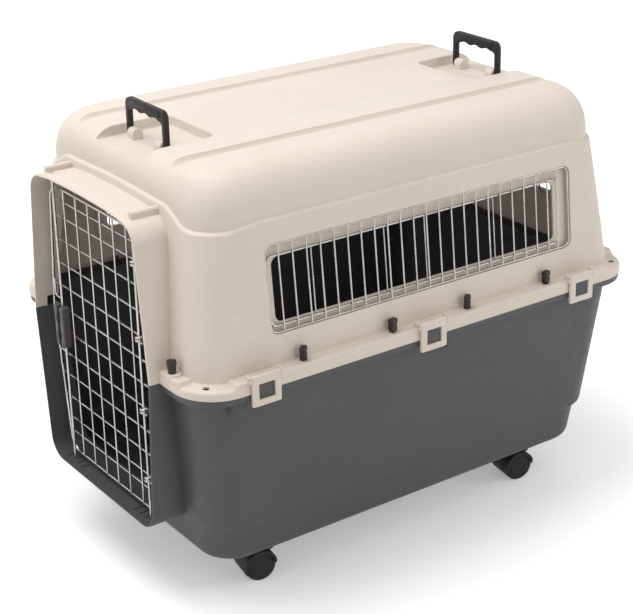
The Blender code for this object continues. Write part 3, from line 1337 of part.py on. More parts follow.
def make_caster_hood(label, x, y, frame):
    """A slab between the wheels with a curved cover over both, and the boss that turns on the stem."""
    half = WHEEL_SPACE / 2 - GAP
    hood = plate(f"caster_hood_{label}", arc(0, 0, WHEEL_R + HOOD_GROW, 0, 180, 10), frame, -half, half)
    low, high = (x, y, BOSS_BASE_Z), (x, y, PLATE_BASE_Z - GAP)
    join(hood, rod(f"caster_hood_{label}_boss", low, high, BOSS_R, BORE_SIDES))
    outer = arc(0, 0, WHEEL_R + COVER_OUT, 180 - COVER_START, 180 - COVER_END, 14)
    inner = arc(0, 0, WHEEL_R + COVER_IN, 180 - COVER_END, 180 - COVER_START, 14)
    reach = half + WHEEL_W * COVER_SHARE
    join(hood, plate(f"caster_hood_{label}_cover", outer + inner, frame, -reach, reach))
    start, end = (x, y, STEM_BASE_Z - GAP), (x, y, PLATE_BASE_Z + OVERCUT / 2)
    cut(hood, rod(f"caster_hood_{label}_stem_bore", start, end, STEM_R + GAP, BORE_SIDES))
    start, end = frame @ Vector((0, 0, -WHEEL_SPACE)), frame @ Vector((0, 0, WHEEL_SPACE))
    cut(hood, rod(f"caster_hood_{label}_axle_bore", start, end, AXLE_R + GAP, ROD_SIDES))
    settle(hood)
    set_origin(hood, (x, y, SWIVEL_Z))
    place_piece(hood, "dark_plastic")


def make_caster_wheels(label, frame):
    """Two wheels on one axle."""
    reach = WHEEL_SPACE / 2 + AXLE_LAP
    start, end = frame @ Vector((0, 0, -reach)), frame @ Vector((0, 0, reach))
    wheels = rod(f"caster_wheels_{label}", start, end, AXLE_R, ROD_SIDES, 180 / WHEEL_SIDES)
    inner = WHEEL_SPACE / 2
    outer = inner + WHEEL_W
    profile = [
        (0, outer + HUB_BULGE), (WHEEL_R - WHEEL_CHAMFER, outer), (WHEEL_R, outer - WHEEL_CHAMFER),
        (WHEEL_R, inner + TREAD_ROUND), (WHEEL_R - TREAD_ROUND, inner), (0, inner),
    ]
    middle = frame.to_translation()
    axle = frame.to_3x3() @ Vector((0, 0, 1))
    for end_name, way in (("a", 1), ("b", -1)):
        name = f"caster_wheel_{label}_{end_name}"
        join(wheels, turned(name, profile, middle, axle * way, WHEEL_SIDES))
    settle(wheels)
    set_origin(wheels, middle)
    place_piece(wheels, "wheel_rubber")


def make_caster(label, x, y):
    frame = caster_frame(x, y, math.radians(CASTER_TURN[label.split("_")[0]]))
    make_caster_stem(label, x, y)
    make_caster_hood(label, x, y, frame)
    make_caster_wheels(label, frame)


def main():
    clear_scene()
    make_upper_shell()
    make_lower_shell()
    make_window_grille(1)
    make_window_grille(-1)
    make_rear_grille()
    make_door_mat()
    make_hinge_rod()
    make_latch_housing()
    for label, sign in (("upper", 1), ("lower", -1)):
        make_latch_slide(label, sign)
        make_latch_rod(label, sign)
    make_handle("front")
    make_handle("rear")
    for side in (1, -1):
        for index, y in enumerate(CLIP_Y, 1):
            make_clip(side, index, y)
    for name, x, y in bolt_places():
        make_wing_bolt(name, x, y)
    for label, (x, y) in caster_places().items():
        make_caster(label, x, y)


main()
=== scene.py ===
"""Pet travel crate, dressed: finely made shells, wires, handles and casters over the fixed frame,
with moulded, plated and rubber materials. Metres, +Z up, door towards -Y."""

import json
import math

import bmesh
import bpy
from mathutils import Matrix, Vector

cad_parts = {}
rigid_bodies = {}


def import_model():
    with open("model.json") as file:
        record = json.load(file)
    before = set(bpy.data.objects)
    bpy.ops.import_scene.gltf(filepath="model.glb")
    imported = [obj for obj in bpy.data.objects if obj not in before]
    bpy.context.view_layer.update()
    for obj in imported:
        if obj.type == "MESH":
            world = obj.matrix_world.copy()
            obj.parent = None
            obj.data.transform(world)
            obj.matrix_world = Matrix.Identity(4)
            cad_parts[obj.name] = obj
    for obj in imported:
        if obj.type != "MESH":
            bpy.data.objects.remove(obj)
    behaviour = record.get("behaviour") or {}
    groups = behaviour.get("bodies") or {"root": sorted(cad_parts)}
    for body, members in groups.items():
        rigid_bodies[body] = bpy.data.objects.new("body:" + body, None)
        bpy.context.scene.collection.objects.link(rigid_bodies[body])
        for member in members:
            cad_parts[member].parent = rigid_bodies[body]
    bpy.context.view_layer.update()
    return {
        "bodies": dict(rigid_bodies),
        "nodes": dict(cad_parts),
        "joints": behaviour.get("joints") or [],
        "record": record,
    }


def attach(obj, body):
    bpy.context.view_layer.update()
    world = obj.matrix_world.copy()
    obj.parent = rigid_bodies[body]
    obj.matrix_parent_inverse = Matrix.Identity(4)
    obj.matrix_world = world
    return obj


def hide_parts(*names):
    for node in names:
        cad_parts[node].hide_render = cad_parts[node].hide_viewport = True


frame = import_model()

# Clearances, walls and the small allowances used throughout
GAP = 0.0004
WALL = 0.0034
OVERCUT = 0.020
WELD = 0.0006

# Body, measured on its outer faces; the front wall faces -Y
BODY_Y = 0.010
SPLIT_Z = 0.448
BODY_EXTRA_Y = 0.161
BELT_HALF_X = 0.3145
BELT_HALF_Y = BELT_HALF_X + BODY_EXTRA_Y
FRONT_WALL_Y = BODY_Y - BELT_HALF_Y
REAR_WALL_Y = BODY_Y + BELT_HALF_Y
FLANGE_TOP_Z = SPLIT_Z + 0.0145
BELT_CORNER_R = 0.064
WALL_START_Z = FLANGE_TOP_Z + 0.0175
WALL_FOOT = 0.003

# Upper shell: the crease, the shoulders above it and the roof
CREASE_Z = 0.721
ROOF_Z = CREASE_Z + 0.090
CREASE_STEP = 0.006
CREASE_HALF_X = BELT_HALF_X - 0.024
CREASE_CORNER_R = 0.078
LEDGE_DROP = 0.004
LEDGE_RISE = 0.003
LEDGE_TAPER = 0.002
SHOULDER_X = 0.072
SHOULDER_Y = 0.060
SHOULDER_POWER = 2.45
ROOF_CORNER_R = 0.058

# How the crease dips at the corners and climbs to the snout at the front
CREASE_DIP = 0.008
DIP_START_Y = BELT_HALF_Y - 0.1305
DIP_END_Y = BELT_HALF_Y - 0.0705
CLIMB = 0.0305
CREASE_CROWN = 0.004

# Lower shell
TUB_TOP_Z = SPLIT_Z - 0.024
TUB_BASE_Z = 0.0825
TUB_STEP_Z = TUB_BASE_Z + 0.0835
TUB_STEP = 0.008
TUB_STEP_HALF_X = BELT_HALF_X - 0.023
TUB_STEP_CORNER_R = BELT_CORNER_R + 0.006
TUB_FOOT_HALF_X = TUB_STEP_HALF_X - 0.0165
TUB_FOOT_CORNER_R = TUB_STEP_CORNER_R - 0.004
TUB_RIM_GROW = 0.002
TUB_COVE = 0.004

# Belt flange shared by both shells, with raised bands along its straight runs
FLANGE_HALF_X = BELT_HALF_X + 0.0285
FLANGE_HALF_Y = BELT_HALF_Y + 0.0245
FLANGE_CORNER_R = BELT_CORNER_R + 0.018
FLANGE_ROUND = 0.006
BAND_TOP_Z = FLANGE_TOP_Z + 0.008
BAND_STOP = 0.070
BAND_SIDE_Y = (BODY_Y - FLANGE_HALF_Y + BAND_STOP, BODY_Y + FLANGE_HALF_Y - BAND_STOP)
BAND_END_X = FLANGE_HALF_X - 0.066
BAND_INSET = 0.0006
BAND_CORNER_R = 0.006
LIP_DEPTH = 0.014
LIP_INSET = 0.001
TIE_HOLE_X = FLANGE_HALF_X - 0.037
TIE_HOLE_Y = FLANGE_HALF_Y - 0.0355
TIE_HOLE_R = 0.0062
GUSSET_Y = (BAND_SIDE_Y[0] + 0.012, 0.052, BAND_SIDE_Y[1] - 0.055)
GUSSET_LENGTH = 0.022
GUSSET_HALF_X = BELT_HALF_X + 0.0155
GUSSET_BASE_Z = SPLIT_Z - 0.041
GUSSET_TUCK = 0.0015

# Snout round the door
SNOUT_FRONT_Y = FRONT_WALL_Y - 0.0445
SNOUT_BACK_Y = FRONT_WALL_Y + 0.0405
SNOUT_HALF_X = BELT_HALF_X - 0.0995
CLIMB_START_X = SNOUT_HALF_X + 0.030
CLIMB_END_X = SNOUT_HALF_X - 0.050
SNOUT_TOP_HALF_X = SNOUT_HALF_X - 0.025
SNOUT_TOP_Z = CREASE_Z + 0.013
SNOUT_CROWN_X = 0.070
SNOUT_CROWN_DROP = 0.0015
SNOUT_SHOULDER_Z = SNOUT_TOP_Z - 0.007
SNOUT_BASE_HALF_X = SNOUT_HALF_X - 0.020
SNOUT_BASE_Z = TUB_BASE_Z + 0.0665
SNOUT_R = 0.042
TUNNEL_BACK_Y = FRONT_WALL_Y + 0.0775
EAR_X = SNOUT_TOP_HALF_X - 0.037
EAR_HALF_W = 0.0055
EAR_FRONT_Y = SNOUT_FRONT_Y + 0.016
EAR_BACK_Y = FRONT_WALL_Y + 0.0455
EAR_TOP_Z = SNOUT_TOP_Z + 0.0045
EAR_HEIGHT = 0.0335
EAR_R = 0.0045
COMB_X = (0.100, 0.119, 0.138, 0.157)
COMB_W = 0.0040
COMB_LENGTH = 0.020
COMB_Y = SNOUT_FRONT_Y + 0.023
COMB_CLEAR = 0.009

# Side windows with their wire grilles
WINDOW_R = 0.014
RECESS_Y0 = FRONT_WALL_Y + 0.141
RECESS_Y1 = REAR_WALL_Y - 0.124
RECESS_Z0 = FLANGE_TOP_Z + 0.060
RECESS_Z1 = CREASE_Z - 0.0405
WINDOW_EDGE = (0.0185, 0.0335)
WINDOW_Y0 = RECESS_Y0 + WINDOW_EDGE[0]
WINDOW_Y1 = RECESS_Y1 - WINDOW_EDGE[1]
WINDOW_Z0 = RECESS_Z0 + 0.017
WINDOW_Z1 = RECESS_Z1 - 0.027
RECESS_R = 0.016
RECESS_DEPTH = 0.012
GRILLE_DEPTH = 0.0035
GRILLE_FRAME_R = 0.0019
GRILLE_CORNER_R = 0.014
BAR_COUNT = 22
BAR_FIRST_Y = WINDOW_Y0 + 0.011
BAR_PITCH = (RECESS_Y1 - BAR_FIRST_Y - 0.0538) / (BAR_COUNT - 1)
END_BAR_STEP = 0.8
BAR_R = 0.0015
RAIL_R = 0.0022
RAIL_OFFSET = 0.004
RAIL_REACH = (0.012, 0.004)

# Rear window
REAR_HALF_X = 0.150
REAR_Z1 = CREASE_Z - 0.066
REAR_Z0 = REAR_Z1 - 0.095
REAR_R = 0.012
REAR_BARS = 9
REAR_WIRE_R = 0.0016
REAR_LAP = 0.008

# Door, its hinge rod and its latch
ROD_Y = SNOUT_FRONT_Y + 0.021
ROD_R = 0.0026
ROD_PLAY = 0.0008
ROD_TOP_Z = SNOUT_TOP_Z - 0.0078
ROD_BASE_Z = SNOUT_BASE_Z + 0.0005
MAT_Y = ROD_Y + 0.009
MAT_WIRE_R = 0.0017
FRAME_R = 0.0027
DOOR_CORNER_R = 0.030
DOOR_TOP_Z = SNOUT_TOP_Z - 0.034
DOOR_BASE_Z = SNOUT_BASE_Z + 0.017
DOOR_TOP_HALF_X = SNOUT_TOP_HALF_X - 0.019
DOOR_MID_HALF_X = SNOUT_HALF_X - 0.023
DOOR_BASE_HALF_X = SNOUT_BASE_HALF_X - 0.031
HINGE_X = DOOR_TOP_HALF_X - 0.021
LATCH_X = 0.0325 - DOOR_TOP_HALF_X
DOOR_COLUMN_SHARES = (-0.6626, -0.3936, -0.1298, 0.1298, 0.3936, 0.6626)
DOOR_COLUMNS = tuple(DOOR_TOP_HALF_X * share for share in DOOR_COLUMN_SHARES)
DOOR_ROW_SHARES = (
    0.073, 0.1273, 0.2097, 0.2959, 0.3801, 0.4663, 0.5524, 0.6367, 0.7228, 0.8109, 0.897, 0.9569,
)
DOOR_ROWS = tuple(DOOR_BASE_Z + (DOOR_TOP_Z - DOOR_BASE_Z) * share for share in DOOR_ROW_SHARES)
KNUCKLE_ROWS = (DOOR_ROWS[1], DOOR_ROWS[4], DOOR_ROWS[7], DOOR_ROWS[10])
KNUCKLE_R = 0.0080
KNUCKLE_HALF_H = 0.0080
HOUSING_Z0 = SPLIT_Z - 0.056
HOUSING_Z1 = HOUSING_Z0 + 0.080
HOUSING_HALF_X = 0.0165
HOUSING_FRONT = 0.0110
HOUSING_ROUND = 0.0025
CHANNEL_HALF_X = 0.0050
CHANNEL_BACK = 0.0034
THUMB_PROUD = 0.0035
THUMB_H = 0.0150
THUMB_ROUND = 0.0012
LATCH_TRAVEL = 0.009
LATCH_SLACK = 0.001
HOOK_W = 0.0240
HOOK_DEPTH = 0.0040
HOOK_LEG = 0.0300
HOOK_RISE = 0.0080
HOOK_R = 0.0020

# Handles, front and rear, which fold towards the middle of the roof
HANDLE_FRONT_Y = FRONT_WALL_Y + 0.1005
HANDLE_REAR_Y = REAR_WALL_Y - 0.1025
HANDLE_LEG_X = 0.0625
HANDLE_LEG_W = 0.0105
HANDLE_HALF_T = 0.0050
POCKET_FLOOR_Z = ROOF_Z - 0.0195
HANDLE_PIVOT_Z = POCKET_FLOOR_Z + 0.009
HANDLE_FOOT = 0.0062
HANDLE_TOP_Z = HANDLE_PIVOT_Z + 0.065
HANDLE_CORNER_R = 0.014
GRIP_H = 0.0210
GRIP_HALF_T = 0.0072
GRIP_ROUND = 0.0050
GRIP_INSET = 0.006
SCALLOPS = 3
SCALLOP_DEPTH = 0.0035
STUB_R = 0.0040
STUB_LENGTH = 0.0135
POCKET_HALF_X = HANDLE_LEG_X + 0.0215
POCKET_REACH = 0.088
POCKET_BEHIND = 0.075
POCKET_R = 0.020
LUG_R = 0.0105
LUG_W = 0.020

# Roof grooves
GROOVE_X = BELT_HALF_X - 0.1515
GROOVE_W = 0.026
GROOVE_R = 0.0078
GROOVE_FLOOR_Z = ROOF_Z - 0.010
GROOVE_HALF_Y = BELT_HALF_Y - 0.0455

# Clips on the belt
CLIP_MIDDLE_Y = -0.004
CLIP_Y = (BAND_SIDE_Y[0] + 0.058, CLIP_MIDDLE_Y, BAND_SIDE_Y[1] - 0.084)
CLIP_W = 0.058
CLIP_TOP_Z = BAND_TOP_Z + 0.010
CLIP_BASE_Z = SPLIT_Z - 0.0245
CLIP_T = 0.0070
CLIP_PIN_X = 0.0035
CLIP_AXIS_Z = CLIP_TOP_Z - 0.005
CLIP_PIN_R = 0.0015
CHEEK_W = 0.0040
CHEEK_IN = 0.0100
CHEEK_OUT = 0.0065
CHEEK_DROP = 0.0135
CATCH_W = 0.030
CATCH_Z0 = SPLIT_Z - 0.011
CATCH_Z1 = SPLIT_Z + 0.015
CATCH_T = 0.0042
CATCH_EDGE = 0.0005
CATCH_PLAY = 0.0012

# Wing bolts
BOLT_SIDE_X = FLANGE_HALF_X - 0.0165
BOLT_MIDDLE_Y = (-0.080, 0.091)
BOLT_SIDE_Y = (BAND_SIDE_Y[0] + 0.148, *BOLT_MIDDLE_Y, BAND_SIDE_Y[1] - 0.157)
BOLT_END_X = BAND_END_X - 0.037
BOLT_FRONT_Y = BODY_Y - FLANGE_HALF_Y + 0.010
BOLT_REAR_Y = BODY_Y + FLANGE_HALF_Y - 0.0115
BOLT_SHANK_R = 0.0030
BOLT_BASE_Z = SPLIT_Z - 0.012
BOLT_HUB_R = 0.0072
WING_HALF_X = 0.0082
WING_HALF_Y = 0.0060
WING_START = 0.0050
WING_H = 0.0235
SIDE_STANDOFF = 0.0018
PAD_R = 0.0150
PAD_SHIFT = 0.0035
PAD_H = 0.0035
PAD_ROOT = 0.0100

# Casters
CASTER_X = TUB_FOOT_HALF_X - 0.0604
CASTER_FRONT_Y = BODY_Y - TUB_FOOT_HALF_X - BODY_EXTRA_Y + 0.1417
CASTER_REAR_X = TUB_FOOT_HALF_X - 0.059
CASTER_REAR_Y = BODY_Y + TUB_FOOT_HALF_X + BODY_EXTRA_Y - 0.1015
CASTER_TURN = {"front": -10.0, "rear": -9.0}
TRAIL = 0.026
WHEEL_R = 0.030
WHEEL_W = 0.018
WHEEL_SPACE = 0.020
WHEEL_CHAMFER = 0.0060
TREAD_ROUND = 0.0020
HUB_BULGE = 0.0010
AXLE_R = 0.0035
AXLE_LAP = 0.004
HOOD_GROW = 0.0030
COVER_OUT = 0.0030
COVER_IN = 0.0010
COVER_START = 5
COVER_END = 205
COVER_SHARE = 1.0
BOSS_R = 0.0092
BOSS_BASE_Z = 0.0520
PLATE_BASE_Z = TUB_BASE_Z - 0.0069
PLATE_R = 0.0215
PLATE_ROUND = 0.0010
STEM_R = 0.0040
STEM_BASE_Z = 0.0540
STEM_ROOT_R = 0.0055
STEM_ROOT_H = 0.014

# Finer detail than the solids carry
SHOULDER_STEPS = 16
TUB_FILLET = (
    (0.0185, 0.0), (0.0150, 0.0006), (0.0110, 0.0020), (0.0072, 0.0044), (0.0042, 0.0078),
    (0.0019, 0.0120), (0.0005, 0.0170), (0.0, 0.0225),
)
SKIRT_Z = 0.4465
ROOF_LINES_X = (-0.090, -0.063, -0.036, -0.009, 0.018, 0.045)
ROOF_LINE_Y = (-0.19, 0.24)
ROOF_LINE_W = 0.0060
ROOF_LINE_R = 0.0092
HOOK_BEND = 0.011
LIP_IN = 0.0034
LIP_T = 0.0016
STAY_Y = (-0.225, -0.070, 0.020, 0.180)
STAY_R = 0.0012
CLIP_ROUND = 0.0018
BAND_SOFT = 0.0030
BAND_SLOPE = 0.0035
POCKET_SOFT = 0.0030
POCKET_LIP = 0.0028
CLIP_CORNER_R = 0.0035
CLIP_WINDOW_R = 0.0015
RIVET_R = 0.0022
RIVET_SET = 0.008
THUMB_RIBS = 4
RIB_HALF_H = 0.0009
RIB_DEPTH = 0.002
RIB_PROUD = 0.0008
COIL_PITCH = 2.2
COIL_STEPS = 20
# How far the snout's rounded front rim draws in, and how far back each step of it lies
SNOUT_RIM = ((0.0026, 0.0), (0.0010, 0.0005), (0.0003, 0.0013), (0.0, 0.0026))
# A wing bolt's head from its foot to its top: share of its height, of its width and of its depth
WING_FOOT = 0.0008
WING_CORNER = 0.42
WING_LEVELS = (
    (0.0, 0.74, 0.94), (0.05, 0.80, 1.0), (0.12, 0.84, 1.0), (0.40, 0.90, 1.0), (0.47, 0.78, 0.90),
    (0.52, 0.76, 0.88), (0.57, 0.80, 0.90), (0.64, 0.98, 1.0), (0.84, 1.0, 1.0), (0.94, 0.95, 0.94),
    (0.98, 0.88, 0.84), (1.0, 0.78, 0.70),
)
# Each bolt is turned by its own amount, worked out from its place
BOLT_TURN_X = 37.0
BOLT_TURN_Y = 91.0
BOLT_TURN_MOST = 3.0
# How far the edges of the smaller pieces are rounded
SOFT = {
    "handle": 0.0016, "grip": 0.002, "stub": 0.0006, "lug": 0.0008, "pin": 0.0004, "shank": 0.0005,
    "slab": 0.0006, "cover": 0.0004, "cheek": 0.0009, "ear": 0.0014, "catch": 0.0016, "gusset": 0.0012,
    "rod": 0.0007, "rib": 0.0005,
}

# Camera and stage
CAMERA_PLACE = (2.41270, -1.69848, 1.65056)
CAMERA_RIGHT = (0.57870, 0.81532, -0.01876)
CAMERA_UP = (-0.31116, 0.24200, 0.91903)
CAMERA_BACK = (0.75385, -0.52601, 0.39374)
CAMERA_LENS = 93.17
FLOOR_HALF = 9.0
FLOOR_GAP = 0.0005
FLOOR_COLOR = (0.84, 0.84, 0.84)
# Light the floor adds for the eye, near the crate and far off, and the distances between: dimmer near the
# crate, a painted shade round its foot
FLOOR_GLOW_WITH_PAINTED_SHADE = (0.30, 0.62)
FLOOR_PAINTED_SHADE_REACH = (0.45, 1.6)
WORLD_LIGHT = 0.62
# The kinds of ray that find floor and world plain white
WHITE_FOR = ("Is Camera Ray", "Is Glossy Ray", "Is Transmission Ray")
# Each lamp: its place, what it faces, its size and its power
LAMPS = {
    "key": ((-0.35, -1.0, 3.4), (0.0, 0.0, 0.4), (1.9, 1.9), 66.0),
    "front_fill": ((-0.8, -3.4, 1.7), (0.0, 0.0, 0.45), (2.0, 1.6), 13.5),
    "side_fill": ((3.6, 0.7, 1.7), (0.0, 0.0, 0.45), (2.0, 1.6), 15.0),
    "rear_fill": ((2.2, 2.6, 1.5), (0.2, 0.0, 0.45), (0.6, 0.6), 12.0),
}

# Frames that stand a flat outline up: its two axes, then the axis that it is extruded along
FLAT = Matrix.Identity(4)
FACING_X = Matrix(((0, 0, 1, 0), (1, 0, 0, 0), (0, 1, 0, 0), (0, 0, 0, 1)))
FACING_Y = Matrix(((1, 0, 0, 0), (0, 0, 1, 0), (0, 1, 0, 0), (0, 0, 0, 1)))

# How far a quarter round draws in and stays below its top, as shares of its radius
QUARTER_ROUND = tuple(
    (1 - math.cos(math.radians(turn)), 1 - math.sin(math.radians(turn))) for turn in (0, 22.5, 45, 67.5, 90)
)


def frame_of(*columns):
    """A frame from its three axes and its origin."""
    frame = Matrix.Identity(4)
    for column, axis in enumerate(columns):
        for row in range(3):
            frame[row][column] = axis[row]
    return frame


def smooth_by_angle(mesh, degrees=35.0):
    """Shades round faces smooth and keeps edges sharper than the angle crisp."""
    work = bmesh.new()
    work.from_mesh(mesh)
    for face in work.faces:
        face.smooth = True
    for edge in work.edges:
        if len(edge.link_faces) == 2:
            edge.smooth = edge.calc_face_angle(0.0) < math.radians(degrees)
    work.to_mesh(mesh)
    work.free()


def object_from(work, name):
    bmesh.ops.recalc_face_normals(work, faces=work.faces)
    mesh = bpy.data.meshes.new(name)
    work.to_mesh(mesh)
    work.free()
    return bpy.data.objects.new(name, mesh)


def dress(obj, body, slot, *nodes):
    """Puts a finished piece in the scene with its material, on its body and in place of its nodes."""
    obj.data.materials.clear()
    obj.data.materials.append(LOOKS[slot])
    smooth_by_angle(obj.data)
    bpy.context.scene.collection.objects.link(obj)
    if nodes:
        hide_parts(*nodes)
    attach(obj, body)
    return obj


def boolean(obj, tool, operation):
    if not tool.users_collection:
        bpy.context.scene.collection.objects.link(tool)
    tool.hide_render = True
    added = obj.modifiers.new(tool.name, "BOOLEAN")
    added.operation = operation
    added.solver = "EXACT"
    added.object = tool


def cut(obj, *tools):
    for tool in tools:
        boolean(obj, tool, "DIFFERENCE")


def join(obj, *tools):
    for tool in tools:
        boolean(obj, tool, "UNION")


def final_mesh(obj):
    """An object's mesh as its modifiers or its curve leave it."""
    bpy.context.scene.collection.objects.link(obj)
    bpy.context.view_layer.update()
    mesh = bpy.data.meshes.new_from_object(obj.evaluated_get(bpy.context.evaluated_depsgraph_get()))
    bpy.context.scene.collection.objects.unlink(obj)
    return mesh


def settle(obj):
    """Applies an object's modifiers and removes its tools."""
    tools = [step.object for step in obj.modifiers]
    mesh = final_mesh(obj)
    obj.modifiers.clear()
    obj.data = mesh
    for tool in tools:
        bpy.data.objects.remove(tool, do_unlink=True)


def merge(name, *parts):
    """One object of several meshes that are welded or fixed together in the real thing."""
    work = bmesh.new()
    for part in parts:
        work.from_mesh(part.data)
        bpy.data.objects.remove(part, do_unlink=True)
    mesh = bpy.data.meshes.new(name)
    work.to_mesh(mesh)
    work.free()
    return bpy.data.objects.new(name, mesh)


def span(a, b):
    return min(a, b), max(a, b)


def box(name, low, high, bevel=0.0, segments=3):
    work = bmesh.new()
    size = [high[i] - low[i] for i in range(3)]
    middle = [(high[i] + low[i]) / 2 for i in range(3)]
    bmesh.ops.create_cube(work, size=1.0)
    bmesh.ops.scale(work, vec=size, verts=work.verts)
    bmesh.ops.translate(work, vec=middle, verts=work.verts)
    if bevel > 0:
        bmesh.ops.bevel(work, geom=work.edges, offset=bevel, segments=segments, affect="EDGES", profile=0.5)
    return object_from(work, name)


def ring(work, frame, radius, height, sides):
    """A circle of new corners round a frame's third axis."""
    angles = [2 * math.pi * i / sides for i in range(sides)]
    points = [Vector((radius * math.cos(a), radius * math.sin(a), height)) for a in angles]
    return [work.verts.new(frame @ point) for point in points]


def aimed(start, along):
    """A frame at a point, with its third axis along a direction."""
    return Matrix.Translation(start) @ along.to_track_quat("Z", "Y").to_matrix().to_4x4()


def add_rod(work, start, end, radius, sides=16, tip=0.0):
    """Adds one straight rod to a bmesh, with its ends eased by the tip's length."""
    start = Vector(start)
    along = Vector(end) - start
    frame = aimed(start, along)
    rings = [(radius - tip, 0.0), (radius, tip), (radius, along.length - tip), (radius - tip, along.length)]
    if tip == 0.0:
        rings = [(radius, 0.0), (radius, along.length)]
    made = [ring(work, frame, size, height, sides) for size, height in rings]
    for low, high in zip(made, made[1:]):
        for i in range(sides):
            j = (i + 1) % sides
            work.faces.new((low[i], low[j], high[j], high[i]))
    work.faces.new(list(reversed(made[0])))
    work.faces.new(made[-1])


def rod(name, start, end, radius, sides=24, tip=0.0):
    work = bmesh.new()
    add_rod(work, start, end, radius, sides, tip)
    return object_from(work, name)


def turned(name, profile, frame, steps=48):
    """A turned shape: a profile of (radius, height) points, top to bottom, in its own frame."""
    work = bmesh.new()
    rows = []
    for radius, height in profile:
        rows.append(ring(work, frame, radius, height, 1 if radius == 0 else steps))
    for upper, lower in zip(rows, rows[1:]):
        for i in range(steps):
            j = (i + 1) % steps
            corners = [row[k % len(row)] for row, k in ((upper, i), (upper, j), (lower, j), (lower, i))]
            work.faces.new(list(dict.fromkeys(corners)))
    return object_from(work, name)


def curve_mesh(name, curve, frame):
    made = bpy.data.objects.new(f"{name}_curve", curve)
    mesh = final_mesh(made)
    bpy.data.objects.remove(made, do_unlink=True)
    bpy.data.curves.remove(curve)
    work = bmesh.new()
    work.from_mesh(mesh)
    bpy.data.meshes.remove(mesh)
    bmesh.ops.remove_doubles(work, verts=work.verts, dist=1e-6)
    bmesh.ops.transform(work, matrix=frame, verts=work.verts)
    return object_from(work, name)


def line_curve(name, points, cyclic, dimensions):
    curve = bpy.data.curves.new(name, "CURVE")
    curve.dimensions = dimensions
    spline = curve.splines.new("POLY")
    spline.points.add(len(points) - 1)
    for point, place in zip(spline.points, points):
        point.co = (*place, 1.0)
    spline.use_cyclic_u = cyclic
    return curve


def wire(name, points, radius, cyclic=False):
    """A bent wire: a round curve with capped ends."""
    curve = line_curve(name, points, cyclic, "3D")
    curve.bevel_depth = radius
    curve.bevel_resolution = 4
    curve.use_fill_caps = not cyclic
    return curve_mesh(name, curve, FLAT)


def plate(name, outline, frame, low, high, soft=0.0):
    """A flat outline extruded between two levels of its frame's third axis, with softened rims."""
    curve = line_curve(name, [(u, v, 0.0) for u, v in outline], True, "2D")
    curve.fill_mode = "BOTH"
    curve.extrude = abs(high - low) / 2 - soft
    if soft > 0:
        curve.bevel_depth = soft
        curve.bevel_resolution = 2
        curve.offset = -soft
    return curve_mesh(name, curve, frame @ Matrix.Translation((0, 0, (low + high) / 2)))


def arc(cu, cv, radius, start, end, segments):
    points = []
    for i in range(segments + 1):
        angle = math.radians(start + (end - start) * i / segments)
        points.append((cu + radius * math.cos(angle), cv + radius * math.sin(angle)))
    return points


def rounded(low, high, radius, segments=8):
    """A rounded rectangle between two (u, v) corners."""
    u0, v0 = low[0] + radius, low[1] + radius
    u1, v1 = high[0] - radius, high[1] - radius
    points = []
    for quarter, (cu, cv) in enumerate(((u1, v1), (u0, v1), (u0, v0), (u1, v0))):
        points += arc(cu, cv, radius, 90 * quarter, 90 * quarter + 90, segments)
    return points


def smooth_step(value, start, end):
    part = max(0.0, min(1.0, (value - start) / (end - start)))
    return part * part * (3 - 2 * part)


def filled(outline, counts):
    """A rounded rectangle with points added along its four straight runs."""
    quarter = len(outline) // 4
    points = []
    for i in range(4):
        points += outline[i * quarter:(i + 1) * quarter]
        a = outline[(i + 1) * quarter - 1]
        b = outline[((i + 1) * quarter) % len(outline)]
        for k in range(1, counts[i]):
            part = k / counts[i]
            points.append((a[0] + (b[0] - a[0]) * part, a[1] + (b[1] - a[1]) * part))
    return points


def ring_loop(half_x, half_y, radius, z, lift=None):
    """A finely divided rounded rectangle about the body's middle at one height."""
    outline = filled(rounded((-half_x, -half_y), (half_x, half_y), radius, 16), (16, 30, 36, 30))
    loop = []
    for x, v in outline:
        y = BODY_Y + v
        loop.append((x, y, z + (lift(x, y) if lift else 0.0)))
    return loop


def loft(name, loops):
    """A closed solid through unlike sections that hold the same number of points."""
    work = bmesh.new()
    rings = [[work.verts.new(p) for p in loop] for loop in loops]
    count = len(rings[0])
    for low, high in zip(rings, rings[1:]):
        for i in range(count):
            j = (i + 1) % count
            work.faces.new((low[i], low[j], high[j], high[i]))
    work.faces.new(list(reversed(rings[0])))
    work.faces.new(rings[-1])
    return object_from(work, name)


def side_name(side):
    return "right" if side > 0 else "left"


def capsule(name, start, end, radius, sides=40):
    """A straight rod with round ends."""
    start, end = Vector(start), Vector(end)
    along = end - start
    quarter = [math.radians(90 * i / 10) for i in range(11)]
    profile = [(radius * math.sin(a), along.length + radius * math.cos(a)) for a in quarter]
    profile += [(radius * math.cos(a), -radius * math.sin(a)) for a in quarter]
    profile[0], profile[-1] = (0, profile[0][1]), (0, profile[-1][1])
    return turned(name, profile, aimed(start, along), sides)


def stack(name, outlines, frame=FLAT):
    """A closed solid through flat outlines of equal length, each at its own level: (outline, level)."""
    levels = [[tuple(frame @ Vector((u, v, level))) for u, v in outline] for outline, level in outlines]
    return loft(name, levels)


def crease_lift(x, y):
    """How far the crease runs above its height on the sides: lower at both ends, higher at the snout."""
    dip = CREASE_DIP * smooth_step(abs(y - BODY_Y), DIP_START_Y, DIP_END_Y)
    if y > BODY_Y:
        return -dip
    climb = CLIMB * smooth_step(abs(x), CLIMB_START_X, CLIMB_END_X)
    crown = CREASE_CROWN * smooth_step(abs(x), CLIMB_END_X, 0.0)
    return climb + crown - dip


def share_of_lift(share):
    return lambda x, y: share * crease_lift(x, y)


def body_half_y(half_x, z):
    rise = max(0.0, min(1.0, (z - CREASE_Z) / (ROOF_Z - CREASE_Z)))
    fall = 1 - (1 - rise**SHOULDER_POWER) ** (1 / SHOULDER_POWER)
    return half_x + BODY_EXTRA_Y + (SHOULDER_X - SHOULDER_Y) * fall


